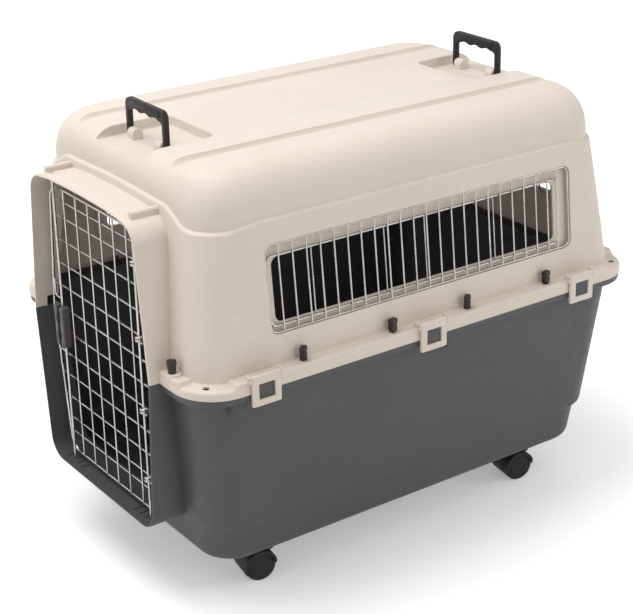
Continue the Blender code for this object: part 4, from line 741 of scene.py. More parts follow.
def wall_loops(inset):
    """The upper shell's wall from the belt, over the crease's small ledge, to the roof."""
    rows = [(BELT_HALF_X - inset, BELT_CORNER_R - inset, WALL_START_Z, 0.0)]
    low = CREASE_Z - LEDGE_DROP
    for part in (0.35, 0.7, 0.9, 1.0):
        half_x = BELT_HALF_X + (CREASE_HALF_X - BELT_HALF_X) * part
        corner = BELT_CORNER_R + (CREASE_CORNER_R - BELT_CORNER_R) * part
        rows.append((half_x - inset, corner - inset, WALL_START_Z + (low - WALL_START_Z) * part, part**3))
    ease = CREASE_STEP / 4
    rows.append((CREASE_HALF_X - ease / 4 - inset, CREASE_CORNER_R - inset, CREASE_Z - ease, 1.0))
    rows.append((CREASE_HALF_X - ease - inset, CREASE_CORNER_R - inset, CREASE_Z, 1.0))
    wall = CREASE_HALF_X - CREASE_STEP
    start = CREASE_Z + LEDGE_RISE
    rows.append((wall + ease / 2 - inset, CREASE_CORNER_R - LEDGE_TAPER - inset, start - ease / 2, 1.0))
    corner_fall = CREASE_CORNER_R - LEDGE_TAPER - ROOF_CORNER_R
    for i in range(SHOULDER_STEPS + 1):
        angle = math.radians(90 * i / SHOULDER_STEPS)
        out = max(math.cos(angle), 0.0) ** (2 / SHOULDER_POWER)
        rise = math.sin(angle) ** (2 / SHOULDER_POWER)
        half_x = wall - SHOULDER_X * (1 - out) - inset * math.cos(angle)
        z = start + (ROOF_Z - start) * rise - inset * math.sin(angle)
        rows.append((half_x, ROOF_CORNER_R + corner_fall * out - inset / 2, z, 1 - rise))
    return [
        ring_loop(half_x, body_half_y(half_x, z), corner, z, share_of_lift(share))
        for half_x, corner, z, share in rows
    ]


def flange_loop(inset, z):
    return ring_loop(FLANGE_HALF_X - inset, FLANGE_HALF_Y - inset, FLANGE_CORNER_R - inset, z)


def belt_loop(grow, z):
    return ring_loop(BELT_HALF_X + grow, BELT_HALF_X + BODY_EXTRA_Y + grow, BELT_CORNER_R + grow, z)


def upper_body(name, inset, low_z):
    """The upper shell's solid form, or with an inset the room inside it."""
    loops = [flange_loop(inset, low_z)]
    if inset == 0:
        for drawn, drop in QUARTER_ROUND:
            loops.append(flange_loop(FLANGE_ROUND * drawn, FLANGE_TOP_Z - FLANGE_ROUND * drop))
        for share, rise in ((3.0, 0.0), (1.6, 0.2), (0.6, 0.8), (0.2, 2.0)):
            loops.append(belt_loop(WALL_FOOT * share, FLANGE_TOP_Z + WALL_FOOT * rise))
    else:
        loops.append(flange_loop(inset, FLANGE_TOP_Z - inset))
        loops.append(belt_loop(-inset, FLANGE_TOP_Z - inset))
    return loft(name, loops + wall_loops(inset))


def band_blocks(name, inset):
    """The flange's raised bands: along both sides, beside the snout, and across the rear."""
    edge_x = FLANGE_HALF_X - BAND_INSET - inset
    edge_y = FLANGE_HALF_Y - BAND_INSET - inset
    inner_x = BELT_HALF_X - 2 * WALL
    inner_y = BELT_HALF_X + BODY_EXTRA_Y - 2 * WALL
    places = []
    for side in (1, -1):
        x0, x1 = span(side * inner_x, side * edge_x)
        places.append(((x0, BAND_SIDE_Y[0] + inset), (x1, BAND_SIDE_Y[1] - inset)))
        x0, x1 = span(side * SNOUT_TOP_HALF_X, side * (BAND_END_X - inset))
        places.append(((x0, BODY_Y - edge_y), (x1, BODY_Y - inner_y)))
    places.append(((-BAND_END_X + inset, BODY_Y + inner_y), (BAND_END_X - inset, BODY_Y + edge_y)))
    low_z = SPLIT_Z + LIP_DEPTH / 2 - inset
    made = []
    for i, (low, high) in enumerate(places):
        levels = [(0.0, 0.0, low_z)]
        if inset == 0:
            levels.append((0.0, 0.0, FLANGE_TOP_Z))
            for drawn, drop in QUARTER_ROUND:
                drawn *= BAND_SOFT
                levels.append((drawn, BAND_SLOPE + drawn, BAND_TOP_Z - BAND_SOFT * drop))
        else:
            levels.append((0.0, BAND_SLOPE, BAND_TOP_Z - inset))
        along_y = high[1] - low[1] > high[0] - low[0]
        outlines = []
        for drawn, pulled, z in levels:
            du, dv = (drawn, pulled) if along_y else (pulled, drawn)
            start, stop = (low[0] + du, low[1] + dv), (high[0] - du, high[1] - dv)
            outlines.append((rounded(start, stop, BAND_CORNER_R - inset - drawn, 8), z))
        made.append(stack(f"{name}_{i}", outlines))
    return made


def snout_upper(inset, low_z):
    """The arched upper half of the snout, from the right of the split to the left."""
    half = SNOUT_HALF_X - inset
    top_half = SNOUT_TOP_HALF_X - inset
    radius = SNOUT_R - inset
    right = arc(top_half - radius, SNOUT_SHOULDER_Z - inset - radius, radius, 0, 84, 18)
    crown = []
    for i in range(13):
        share = 1 - i / 6
        x = SNOUT_CROWN_X * 1.6 * share
        crown.append((x, SNOUT_TOP_Z - inset - SNOUT_CROWN_DROP * 1.6 * share * share))
    left = [(-x, z) for x, z in reversed(right)]
    return [(half, low_z), *right, *crown, *left, (-half, low_z)]


def snout_lower(inset, high_z):
    half = SNOUT_HALF_X - inset
    radius = SNOUT_R - inset
    left = arc(-SNOUT_BASE_HALF_X + inset + radius, SNOUT_BASE_Z + inset + radius, radius, 180, 270, 18)
    right = [(-x, z) for x, z in reversed(left)]
    return [(-half, high_z), *left, *right, (half, high_z)]


def snout_body(name, outline_at, split_z):
    """The snout's solid half with a rounded front rim."""
    loops = []
    for inset, forward in SNOUT_RIM:
        loops.append([(x, SNOUT_FRONT_Y + forward, z) for x, z in outline_at(inset, split_z)])
    loops.append([(x, SNOUT_BACK_Y, z) for x, z in outline_at(0.0, split_z)])
    return loft(name, loops)


def wall_slope():
    return (CREASE_HALF_X - BELT_HALF_X) / (CREASE_Z - LEDGE_DROP - WALL_START_Z)


def wall_x(z):
    return BELT_HALF_X + wall_slope() * (z - WALL_START_Z)


def wall_frame(side):
    """The leaning side wall: its axes are y, height, and depth outwards."""
    up = Vector((side * wall_slope(), 0, 1))
    out = Vector((side, 0, -wall_slope())).normalized()
    foot = Vector((side * wall_x(RECESS_Z0), 0, RECESS_Z0)) - up * RECESS_Z0
    return frame_of((0, 1, 0), up, out, foot)


def on_wall(side, y, z, depth):
    return wall_frame(side) @ Vector((y, z, depth))


def wall_plate(name, side, low, high, radius, depth0, depth1):
    return plate(name, rounded(low, high, radius), wall_frame(side), depth0, depth1)


def groove_plates(name, grow):
    made = []
    for side in (-1, 1):
        low = (side * GROOVE_X - GROOVE_W / 2 - grow, BODY_Y - GROOVE_HALF_Y - grow)
        high = (side * GROOVE_X + GROOVE_W / 2 + grow, BODY_Y + GROOVE_HALF_Y + grow)
        label = f"{name}_{side_name(side)}"
        outline = rounded(low, high, GROOVE_R + grow)
        made.append(plate(label, outline, FLAT, GROOVE_FLOOR_Z - grow, ROOF_Z + OVERCUT))
    return made


def groove_rods(name):
    """Round-bottomed cutters as wide and as deep as the grooves."""
    depth = ROOF_Z - GROOVE_FLOOR_Z
    radius = (GROOVE_W**2 / 4 + depth**2) / (2 * depth)
    reach = GROOVE_HALF_Y - radius
    made = []
    for side in (-1, 1):
        ends = [(side * GROOVE_X, BODY_Y + way * reach, GROOVE_FLOOR_Z + radius) for way in (-1, 1)]
        made.append(capsule(f"{name}_{side_name(side)}", *ends, radius))
    return made


def handle_y(end):
    return HANDLE_FRONT_Y if end == "front" else HANDLE_REAR_Y


def pocket_plate(name, end, grow):
    inward = 1 if end == "front" else -1
    y0, y1 = span(handle_y(end) - inward * POCKET_BEHIND, handle_y(end) + inward * POCKET_REACH)
    half_x = POCKET_HALF_X
    levels = [(grow, POCKET_FLOOR_Z - grow), (grow, ROOF_Z + OVERCUT)]
    if grow == 0:
        levels = []
        for angle in (0, 30, 60, 90):
            turn = math.radians(angle)
            rise = POCKET_SOFT * (1 - math.cos(turn))
            levels.append((POCKET_SOFT * (math.sin(turn) - 1), POCKET_FLOOR_Z + rise))
        levels += [(POCKET_LIP * drawn, ROOF_Z - POCKET_LIP * drop) for drawn, drop in QUARTER_ROUND]
        levels.append((POCKET_LIP, ROOF_Z + OVERCUT))
    outlines = []
    for wider, z in levels:
        outline = rounded((-half_x - wider, y0 - wider), (half_x + wider, y1 + wider), POCKET_R + wider, 12)
        outlines.append((outline, z))
    return stack(name, outlines)


def handle_lug(name, end, side):
    y = handle_y(end)
    root_z = POCKET_FLOOR_Z - WALL / 2
    inner = HANDLE_LEG_X - HANDLE_LEG_W / 2 - GAP
    outline = [(y + LUG_R, root_z), *arc(y, HANDLE_PIVOT_Z, LUG_R, 0, 180, 24), (y - LUG_R, root_z)]
    low, high = span(side * (inner - LUG_W), side * inner)
    lug = plate(name, outline, FACING_X, low, high, SOFT["lug"])
    mouth = (side * (inner + LUG_W / 4), y, HANDLE_PIVOT_Z)
    deep = (side * (inner - STUB_LENGTH - WALL / 4), y, HANDLE_PIVOT_Z)
    return lug, rod(f"{name}_bore", mouth, deep, STUB_R + GAP)


def clip_cheeks(name, side, y):
    made = []
    x0, x1 = span(side * (FLANGE_HALF_X - CHEEK_IN), side * (FLANGE_HALF_X + CHEEK_OUT))
    for end in (-1, 1):
        y0, y1 = span(y + end * (CLIP_W / 2 + GAP), y + end * (CLIP_W / 2 + CHEEK_W))
        low = (x0, y0, CLIP_TOP_Z - CHEEK_DROP)
        made.append(box(f"{name}_{'a' if end < 0 else 'b'}", low, (x1, y1, CLIP_TOP_Z), SOFT["cheek"]))
    return made


def bolt_places():
    places = []
    for side in (1, -1):
        for i, y in enumerate(BOLT_SIDE_Y, 1):
            places.append((f"wing_bolt_{side_name(side)}_{i}", side * BOLT_SIDE_X, y))
        places.append((f"wing_bolt_front_{side_name(side)}", side * BOLT_END_X, BOLT_FRONT_Y))
        places.append((f"wing_bolt_rear_{side_name(side)}", side * BOLT_END_X, BOLT_REAR_Y))
    return places


def at_an_end(bolt):
    return "front" in bolt or "rear" in bolt


def flange_holes(name):
    """Bolt holes and corner tie holes through the flange."""
    work = bmesh.new()
    low_z = SPLIT_Z - LIP_DEPTH - OVERCUT
    high_z = BAND_TOP_Z + OVERCUT
    for _, x, y in bolt_places():
        add_rod(work, (x, y, low_z), (x, y, high_z), BOLT_SHANK_R + GAP)
    for side in (-1, 1):
        for end in (-1, 1):
            x, y = side * TIE_HOLE_X, BODY_Y + end * TIE_HOLE_Y
            add_rod(work, (x, y, low_z), (x, y, high_z), TIE_HOLE_R, 24)
    return object_from(work, name)


def bolt_pads(name):
    made = []
    for place, x, y in bolt_places():
        if at_an_end(place):
            y += PAD_SHIFT if y < 0 else -PAD_SHIFT
            top = BAND_TOP_Z + PAD_H
            profile = [(0, top), (PAD_R - 0.0012, top), (PAD_R - 0.0003, top - 0.0004), (PAD_R, top - 0.0013)]
            profile += [(PAD_R, BAND_TOP_Z - PAD_ROOT), (0, BAND_TOP_Z - PAD_ROOT)]
            made.append(turned(f"{name}_{place}", profile, Matrix.Translation((x, y, 0))))
    return made


def rod_holes(name, low_z, high_z):
    work = bmesh.new()
    for x in (HINGE_X, LATCH_X):
        add_rod(work, (x, ROD_Y, low_z), (x, ROD_Y, high_z), ROD_R + ROD_PLAY, 20)
    return object_from(work, name)


def clip_pin_line(side, y, reach):
    x = side * (FLANGE_HALF_X + CLIP_PIN_X)
    return (x, y - CLIP_W / 2 - reach, CLIP_AXIS_Z), (x, y + CLIP_W / 2 + reach, CLIP_AXIS_Z)


def clip_pin_holes(name):
    work = bmesh.new()
    for side in (-1, 1):
        for y in CLIP_Y:
            start, end = clip_pin_line(side, y, 2 * CHEEK_W)
            add_rod(work, start, end, CLIP_PIN_R + GAP)
    return object_from(work, name)


def cut_roof(shell, cavity):
    """Handle pockets with their lugs, the two long grooves, and faint lines between them."""
    for end in ("front", "rear"):
        cut(shell, pocket_plate(f"pocket_{end}_cut", end, 0.0))
        cut(cavity, pocket_plate(f"pocket_{end}_room", end, WALL))
    cut(shell, *groove_rods("groove_cut"))
    cut(cavity, *groove_plates("groove_room", WALL))
    for i, x in enumerate(ROOF_LINES_X):
        centre = ROOF_Z + math.sqrt(ROOF_LINE_R**2 - ROOF_LINE_W**2 / 4)
        start, end = [(x, y, centre) for y in ROOF_LINE_Y]
        cut(shell, capsule(f"roof_line_{i}", start, end, ROOF_LINE_R))
    for end in ("front", "rear"):
        for side in (-1, 1):
            lug, bore = handle_lug(f"handle_lug_{end}_{side_name(side)}", end, side)
            join(shell, lug)
            cut(shell, bore)


def cut_window_recesses(shell, cavity):
    for side in (1, -1):
        low, high = (RECESS_Y0, RECESS_Z0), (RECESS_Y1, RECESS_Z1)
        name = f"recess_{side_name(side)}"
        cut(shell, wall_plate(f"{name}_cut", side, low, high, RECESS_R, -RECESS_DEPTH, OVERCUT))
        low, high = (RECESS_Y0 - WALL, RECESS_Z0 - WALL), (RECESS_Y1 + WALL, RECESS_Z1 + WALL)
        floor = -RECESS_DEPTH - WALL
        cut(cavity, wall_plate(f"{name}_room", side, low, high, RECESS_R + WALL, floor, OVERCUT))


def rear_wall_y(z):
    slope = (CREASE_HALF_X - BELT_HALF_X) / (CREASE_Z - LEDGE_DROP - CREASE_DIP - WALL_START_Z)
    return BODY_Y + BODY_EXTRA_Y + BELT_HALF_X + slope * (z - WALL_START_Z)


def cut_openings(shell):
    """The doorway, the side windows and the rear window."""
    tunnel = snout_upper(WALL, SPLIT_Z - OVERCUT)
    cut(shell, plate("tunnel_upper", tunnel, FACING_Y, SNOUT_FRONT_Y - OVERCUT, TUNNEL_BACK_Y))
    for side in (1, -1):
        low, high = (WINDOW_Y0, WINDOW_Z0), (WINDOW_Y1, WINDOW_Z1)
        name = f"window_{side_name(side)}_cut"
        cut(shell, wall_plate(name, side, low, high, WINDOW_R, -2 * OVERCUT, OVERCUT))
    outline = rounded((-REAR_HALF_X, REAR_Z0), (REAR_HALF_X, REAR_Z1), REAR_R)
    rear_y = rear_wall_y(REAR_Z0)
    cut(shell, plate("rear_window_cut", outline, FACING_Y, rear_y - 2 * OVERCUT, rear_y + 2 * OVERCUT))


def make_upper_shell():
    shell = upper_body("upper_shell_form", 0.0, SKIRT_Z)
    cavity = upper_body("upper_cavity", WALL, SPLIT_Z - OVERCUT)
    join(shell, *band_blocks("band", 0.0))
    join(cavity, *band_blocks("band_room", WALL))
    join(shell, snout_body("snout_upper_skin", snout_upper, SPLIT_Z + GAP / 2))
    for side in (-1, 1):
        x0, x1 = span(side * (EAR_X - EAR_HALF_W), side * (EAR_X + EAR_HALF_W))
        outline = rounded((x0, EAR_TOP_Z - EAR_HEIGHT), (x1, EAR_TOP_Z), EAR_R)
        name = f"snout_ear_{side_name(side)}"
        join(shell, plate(name, outline, FACING_Y, EAR_FRONT_Y, EAR_BACK_Y, SOFT["ear"]))
    cut_roof(shell, cavity)
    cut_window_recesses(shell, cavity)
    for side in (1, -1):
        for i, y in enumerate(CLIP_Y, 1):
            join(shell, *clip_cheeks(f"clip_cheek_{side_name(side)}_{i}", side, y))
    join(shell, *bolt_pads("pad"))
    cut(shell, cavity)
    cut_openings(shell)
    cut(shell, flange_holes("flange_holes_upper"), clip_pin_holes("clip_pin_holes"))
    cut(shell, rod_holes("rod_holes_upper", SNOUT_TOP_Z - 2 * OVERCUT, SNOUT_TOP_Z + OVERCUT))
    settle(shell)
    return dress(shell, "shell", "beige_plastic", "upper_shell")


def tub_loop(half_x, corner, z):
    return ring_loop(half_x, half_x + BODY_EXTRA_Y, corner, z)


def lower_body(name, inset):
    """The tub's solid form with its rim, or with an inset the room inside it."""
    loops = []
    for drawn_in, rise in TUB_FILLET:
        share = 1 - rise / TUB_FILLET[-1][1] / 2
        half_x = TUB_FOOT_HALF_X - drawn_in - inset
        corner = TUB_FOOT_CORNER_R - (drawn_in + inset) / 2
        loops.append(tub_loop(half_x, corner, TUB_BASE_Z + rise + inset * share))
    step_r = TUB_STEP_CORNER_R - inset / 2
    edge = TUB_STEP_HALF_X - inset
    for drawn, rise in ((1.25, -2.0), (1.0, -1.2), (0.45, -0.6), (0.12, -0.15), (0.0, 0.4)):
        loops.append(tub_loop(edge - TUB_STEP * drawn, step_r, TUB_STEP_Z + TUB_STEP * rise))
    if inset > 0:
        loops.append(belt_loop(-inset, SPLIT_Z + OVERCUT))
        return loft(name, loops)
    plate_z = SKIRT_Z - WALL - GAP / 2
    lip_z = SPLIT_Z - LIP_DEPTH
    loops.append(belt_loop(TUB_RIM_GROW, TUB_TOP_Z))
    loops.append(belt_loop(TUB_RIM_GROW + TUB_COVE / 3, TUB_TOP_Z + TUB_COVE))
    loops.append(belt_loop(TUB_RIM_GROW + TUB_COVE, plate_z))
    loops.append(flange_loop(LIP_INSET + WALL, plate_z))
    loops.append(flange_loop(LIP_INSET + WALL, lip_z))
    loops.append(flange_loop(2.6 * LIP_INSET, lip_z))
    loops.append(flange_loop(2 * LIP_INSET, lip_z + LIP_INSET))
    loops.append(flange_loop(LIP_INSET, SKIRT_Z - GAP))
    return loft(name, loops)


def join_catches(shell):
    """A catch under each clip: a root on the lip, and a face that fills the clip's window."""
    for side in (-1, 1):
        for i, y in enumerate(CLIP_Y, 1):
            name = f"catch_{side_name(side)}_{i}"
            x0, x1 = span(side * (FLANGE_HALF_X - FLANGE_ROUND), side * (FLANGE_HALF_X + CATCH_T))
            low = (x0, y - CATCH_W / 2, CATCH_Z0)
            join(shell, box(f"{name}_root", low, (x1, y + CATCH_W / 2, SKIRT_Z - GAP)))
            x0, x1 = span(side * (FLANGE_HALF_X + GAP), side * (FLANGE_HALF_X + CATCH_T + CATCH_EDGE))
            half = CATCH_W / 2 - CATCH_EDGE
            low, high = (x0, y - half, CATCH_Z0 + CATCH_EDGE), (x1, y + half, CATCH_Z1)
            join(shell, box(f"{name}_face", low, high, SOFT["catch"]))


def join_gussets(shell):
    inner_x = BELT_HALF_X - WALL / 2 - GUSSET_TUCK
    for side in (-1, 1):
        x0, x1 = span(side * inner_x, side * GUSSET_HALF_X)
        for i, y in enumerate(GUSSET_Y, 1):
            low = (x0, y - GUSSET_LENGTH / 2, GUSSET_BASE_Z)
            high = (x1, y + GUSSET_LENGTH / 2, SKIRT_Z - WALL)
            join(shell, box(f"gusset_{side_name(side)}_{i}", low, high, SOFT["gusset"]))


def comb_slots(name):
    work = bmesh.new()
    for side in (-1, 1):
        for offset in COMB_X:
            x = side * offset
            if min(abs(x - HINGE_X), abs(x - LATCH_X)) < COMB_CLEAR:
                continue
            size = Matrix.Diagonal((COMB_W, COMB_LENGTH, 2 * OVERCUT, 1.0))
            bmesh.ops.create_cube(work, size=1.0, matrix=Matrix.Translation((x, COMB_Y, SNOUT_BASE_Z)) @ size)
    return object_from(work, name)


def caster_places():
    places = {}
    for side in (1, -1):
        places[f"front_{side_name(side)}"] = (side * CASTER_X, CASTER_FRONT_Y)
        places[f"rear_{side_name(side)}"] = (side * CASTER_REAR_X, CASTER_REAR_Y)
    return places


def caster_sockets(name):
    work = bmesh.new()
    for x, y in caster_places().values():
        low, high = (x, y, TUB_BASE_Z - OVERCUT / 2), (x, y, TUB_BASE_Z + OVERCUT)
        add_rod(work, low, high, STEM_ROOT_R + GAP)
    return object_from(work, name)


def make_lower_shell():
    shell = lower_body("lower_shell_form", 0.0)
    join(shell, snout_body("snout_lower_skin", snout_lower, SPLIT_Z - GAP))
    join_catches(shell)
    join_gussets(shell)
    cut(shell, lower_body("lower_cavity", WALL))
    tunnel = snout_lower(WALL, SPLIT_Z + OVERCUT)
    cut(shell, plate("tunnel_lower", tunnel, FACING_Y, SNOUT_FRONT_Y - OVERCUT, TUNNEL_BACK_Y))
    cut(shell, flange_holes("flange_holes_lower"))
    cut(shell, rod_holes("rod_holes_lower", SNOUT_BASE_Z - OVERCUT, SNOUT_BASE_Z + OVERCUT))
    cut(shell, comb_slots("comb_slots"), caster_sockets("caster_sockets"))
    settle(shell)
    return dress(shell, "shell", "grey_plastic", "lower_shell")


def knot(work, middle, radius):
    """A small weld bead on a wire."""
    bmesh.ops.create_icosphere(work, subdivisions=2, radius=radius, matrix=Matrix.Translation(middle))


def hook_path(side, y, z, turn, depth):
    """A quarter circle that ends a rail: it bends away from the opening, along the wall."""
    points = []
    for i in range(9):
        angle = math.radians(90 * i / 8)
        back, rise = HOOK_BEND * math.sin(angle), HOOK_BEND * (1 - math.cos(angle))
        points.append(tuple(on_wall(side, y - back, z + turn * rise, depth)))
    return points


def make_window_grille(side):
    """Bars welded to a wire frame, two thick rails with bent ends, and thin uprights behind them."""
    label = side_name(side)
    inset = GRILLE_FRAME_R + GAP
    low = (RECESS_Y0 + inset, RECESS_Z0 + inset)
    high = (RECESS_Y1 - inset, RECESS_Z1 - inset)
    path = [tuple(on_wall(side, y, z, -GRILLE_DEPTH)) for y, z in rounded(low, high, GRILLE_CORNER_R, 10)]
    parts = [wire(f"grille_frame_{label}", path, GRILLE_FRAME_R, cyclic=True)]
    work = bmesh.new()
    places = [BAR_FIRST_Y + BAR_PITCH * i for i in range(BAR_COUNT)]
    places.append(places[-1] + BAR_PITCH * END_BAR_STEP)
    depth = WELD - GRILLE_DEPTH - BAR_R - RAIL_R
    rails = (WINDOW_Z0 - RAIL_OFFSET, WINDOW_Z1 + RAIL_OFFSET)
    for y in places:
        start, end = [on_wall(side, y, z, -GRILLE_DEPTH) for z in (low[1] - WELD, high[1] + WELD)]
        add_rod(work, start, end, BAR_R)
        for z in rails:
            knot(work, on_wall(side, y, z, -GRILLE_DEPTH - BAR_R * 0.6), BAR_R * 0.95)
    for way, z in zip((1, -1), rails):
        start = WINDOW_Y0 - RAIL_REACH[0] + HOOK_BEND
        path = [tuple(on_wall(side, y, z, depth)) for y in (WINDOW_Y1 + RAIL_REACH[1], start)]
        path += hook_path(side, start, z, way, depth)[1:]
        parts.append(wire(f"grille_rail_{label}_{way}", path, RAIL_R))
    for y in STAY_Y:
        start = on_wall(side, y, rails[0], depth - RAIL_R - STAY_R * 0.6)
        end = on_wall(side, y, rails[1], depth - RAIL_R - STAY_R * 0.6)
        add_rod(work, start, end, STAY_R, 12)
        knot(work, (start + end) / 2, STAY_R * 1.7)
    parts.append(object_from(work, f"grille_bars_{label}"))
    grille = merge(f"window_grille_{label}_form", *parts)
    return dress(grille, "shell", "wire", f"window_grille_{label}")


def make_rear_grille():
    def at(x, z):
        return (x, rear_wall_y(z) - WALL - GAP - REAR_WIRE_R, z)

    half_x, z0, z1 = REAR_HALF_X + REAR_LAP, REAR_Z0 - REAR_LAP, REAR_Z1 + REAR_LAP
    path = [at(x, z) for x, z in rounded((-half_x, z0), (half_x, z1), REAR_LAP, 6)]
    frame = wire("rear_grille_frame", path, REAR_WIRE_R, cyclic=True)
    work = bmesh.new()
    for i in range(REAR_BARS):
        x = REAR_HALF_X * ((2 * i + 1) / REAR_BARS - 1)
        add_rod(work, at(x, z0 - WELD), at(x, z1 + WELD), BAR_R)
        for z in (z0, z1):
            knot(work, at(x, z), BAR_R * 1.4)
    grille = merge("rear_grille_form", frame, object_from(work, "rear_grille_bars"))
    return dress(grille, "shell", "wire", "rear_grille")


def door_half_x(z):
    if z > SPLIT_Z:
        part = (z - SPLIT_Z) / (DOOR_TOP_Z - SPLIT_Z)
        return DOOR_MID_HALF_X + (DOOR_TOP_HALF_X - DOOR_MID_HALF_X) * part
    part = (SPLIT_Z - z) / (SPLIT_Z - DOOR_BASE_Z)
    return DOOR_MID_HALF_X + (DOOR_BASE_HALF_X - DOOR_MID_HALF_X) * part


def door_path():
    radius = DOOR_CORNER_R
    top = arc(DOOR_TOP_HALF_X - radius, DOOR_TOP_Z - radius, radius, 0, 90, 10)
    base = arc(DOOR_BASE_HALF_X - radius, DOOR_BASE_Z + radius, radius, 270, 360, 10)
    path = [(DOOR_MID_HALF_X, SPLIT_Z), *top, *[(-x, z) for x, z in reversed(top)]]
    path += [(-DOOR_MID_HALF_X, SPLIT_Z), *[(-x, z) for x, z in reversed(base)], *base]
    return [(x, MAT_Y, z) for x, z in path]


def door_reach(z):
    over = max(0.0, z - DOOR_TOP_Z + DOOR_CORNER_R)
    curve = DOOR_CORNER_R - math.sqrt(DOOR_CORNER_R**2 - over**2)
    return door_half_x(z) - curve + WELD


def make_door_mat():
    """The door's bent frame wire with the welded rows and columns, and its hinge knuckles."""
    frame = wire("door_frame", door_path(), FRAME_R, cyclic=True)
    work = bmesh.new()
    column_y = MAT_Y - 2 * MAT_WIRE_R + 2 * WELD
    for z in DOOR_ROWS:
        reach = door_reach(z)
        add_rod(work, (-reach, MAT_Y, z), (reach, MAT_Y, z), MAT_WIRE_R)
        for x in DOOR_COLUMNS:
            knot(work, (x, (MAT_Y + column_y) / 2, z), MAT_WIRE_R * 1.12)
    for x in DOOR_COLUMNS:
        add_rod(work, (x, column_y, DOOR_BASE_Z - WELD), (x, column_y, DOOR_TOP_Z + WELD), MAT_WIRE_R)
    parts = [frame, object_from(work, "door_wires")]
    reach = (KNUCKLE_R + ROD_R + GAP) / 2
    coil_r = (KNUCKLE_R - ROD_R - GAP) / 2
    for i, z in enumerate(KNUCKLE_ROWS):
        rise = 2 * (KNUCKLE_HALF_H - coil_r)
        turns = max(2, round(rise / (COIL_PITCH * coil_r)))
        path = []
        for step in range(turns * COIL_STEPS + 1):
            angle = 2 * math.pi * step / COIL_STEPS
            climb = rise * (step / (turns * COIL_STEPS) - 0.5)
            path.append((HINGE_X + reach * math.cos(angle), ROD_Y + reach * math.sin(angle), z + climb))
        parts.append(wire(f"knuckle_{i}", path, coil_r))
    return dress(merge("door_mat_form", *parts), "door", "wire", "door_mat")


def make_hinge_rod():
    start, end = [(HINGE_X, ROD_Y, z) for z in (ROD_BASE_Z, ROD_TOP_Z)]
    made = rod("hinge_rod_form", start, end, ROD_R, 24, SOFT["rod"])
    return dress(made, "shell", "wire", "hinge_rod")


def make_latch_housing():
    low = (LATCH_X - HOUSING_HALF_X, ROD_Y - HOUSING_FRONT, HOUSING_Z0)
    high = (LATCH_X + HOUSING_HALF_X, MAT_Y - FRAME_R - GAP, HOUSING_Z1)
    housing = box("latch_housing_form", low, high, HOUSING_ROUND, 4)
    low = (LATCH_X - CHANNEL_HALF_X, ROD_Y - HOUSING_FRONT - OVERCUT, HOUSING_Z0 - OVERCUT)
    high = (LATCH_X + CHANNEL_HALF_X, ROD_Y + CHANNEL_BACK, HOUSING_Z1 + OVERCUT)
    cut(housing, box("latch_channel", low, high))
    settle(housing)
    work = bmesh.new()
    for z in (HOUSING_Z0 + RIVET_SET, HOUSING_Z1 - RIVET_SET):
        for side in (-1, 1):
            x = LATCH_X + side * (HOUSING_HALF_X + CHANNEL_HALF_X) / 2
            add_rod(work, (x, ROD_Y, z), (x, ROD_Y - HOUSING_FRONT, z), RIVET_R, 20)
    housing = merge("latch_housing_form", housing, object_from(work, "latch_rivets"))
    return dress(housing, "door", "latch_plastic", "latch_housing")


def make_latch_slide(label, sign):
    """A thumb slide with grip ribs, in the housing's channel on the rod that it draws."""
    middle = (HOUSING_Z0 + HOUSING_Z1) / 2
    start = middle + sign * (LATCH_TRAVEL + LATCH_SLACK)
    z0, z1 = span(start, start + sign * THUMB_H)
    face_y = ROD_Y - HOUSING_FRONT - THUMB_PROUD
    low = (LATCH_X - CHANNEL_HALF_X + GAP, face_y + RIB_PROUD, z0)
    high = (LATCH_X + CHANNEL_HALF_X - GAP, ROD_Y + CHANNEL_BACK - GAP, z1)
    parts = [box(f"latch_thumb_{label}_body", low, high, THUMB_ROUND)]
    for i in range(THUMB_RIBS):
        z = z0 + THUMB_H * (i + 0.7) / (THUMB_RIBS + 0.4)
        low = (LATCH_X - CHANNEL_HALF_X + 2 * GAP, face_y, z - RIB_HALF_H)
        high = (LATCH_X + CHANNEL_HALF_X - 2 * GAP, face_y + RIB_DEPTH, z + RIB_HALF_H)
        parts.append(box(f"latch_thumb_{label}_rib_{i}", low, high, SOFT["rib"]))
    thumb = merge(f"latch_thumb_{label}_form", *parts)
    return dress(thumb, f"latch_{label}", "dark_plastic", f"latch_thumb_{label}")


def make_latch_rod(label, sign):
    """A rod from the housing to the snout, with a hooked finger grip."""
    near = (HOUSING_Z0 + HOUSING_Z1) / 2 + sign * (LATCH_TRAVEL + 2 * LATCH_SLACK)
    far = ROD_TOP_Z if sign > 0 else ROD_BASE_Z
    edge = HOUSING_Z1 if sign > 0 else HOUSING_Z0
    hook_z = edge + sign * (HOOK_RISE + LATCH_TRAVEL)
    start, end = [(LATCH_X, ROD_Y, z) for z in (near, far)]
    bar = rod(f"latch_bar_{label}", start, end, ROD_R, 24, SOFT["rod"])
    path = [(LATCH_X, ROD_Y, hook_z)]
    for i in range(13):
        angle = math.pi * i / 12
        x = LATCH_X - HOOK_W * (0.5 - 0.5 * math.cos(angle))
        path.append((x, ROD_Y, hook_z - sign * HOOK_DEPTH * math.sin(angle)))
    path.append((LATCH_X - HOOK_W, ROD_Y, hook_z + sign * HOOK_LEG))
    made = merge(f"latch_rod_{label}_form", bar, wire(f"latch_hook_{label}", path, HOOK_R))
    return dress(made, f"latch_{label}", "wire", f"latch_rod_{label}")


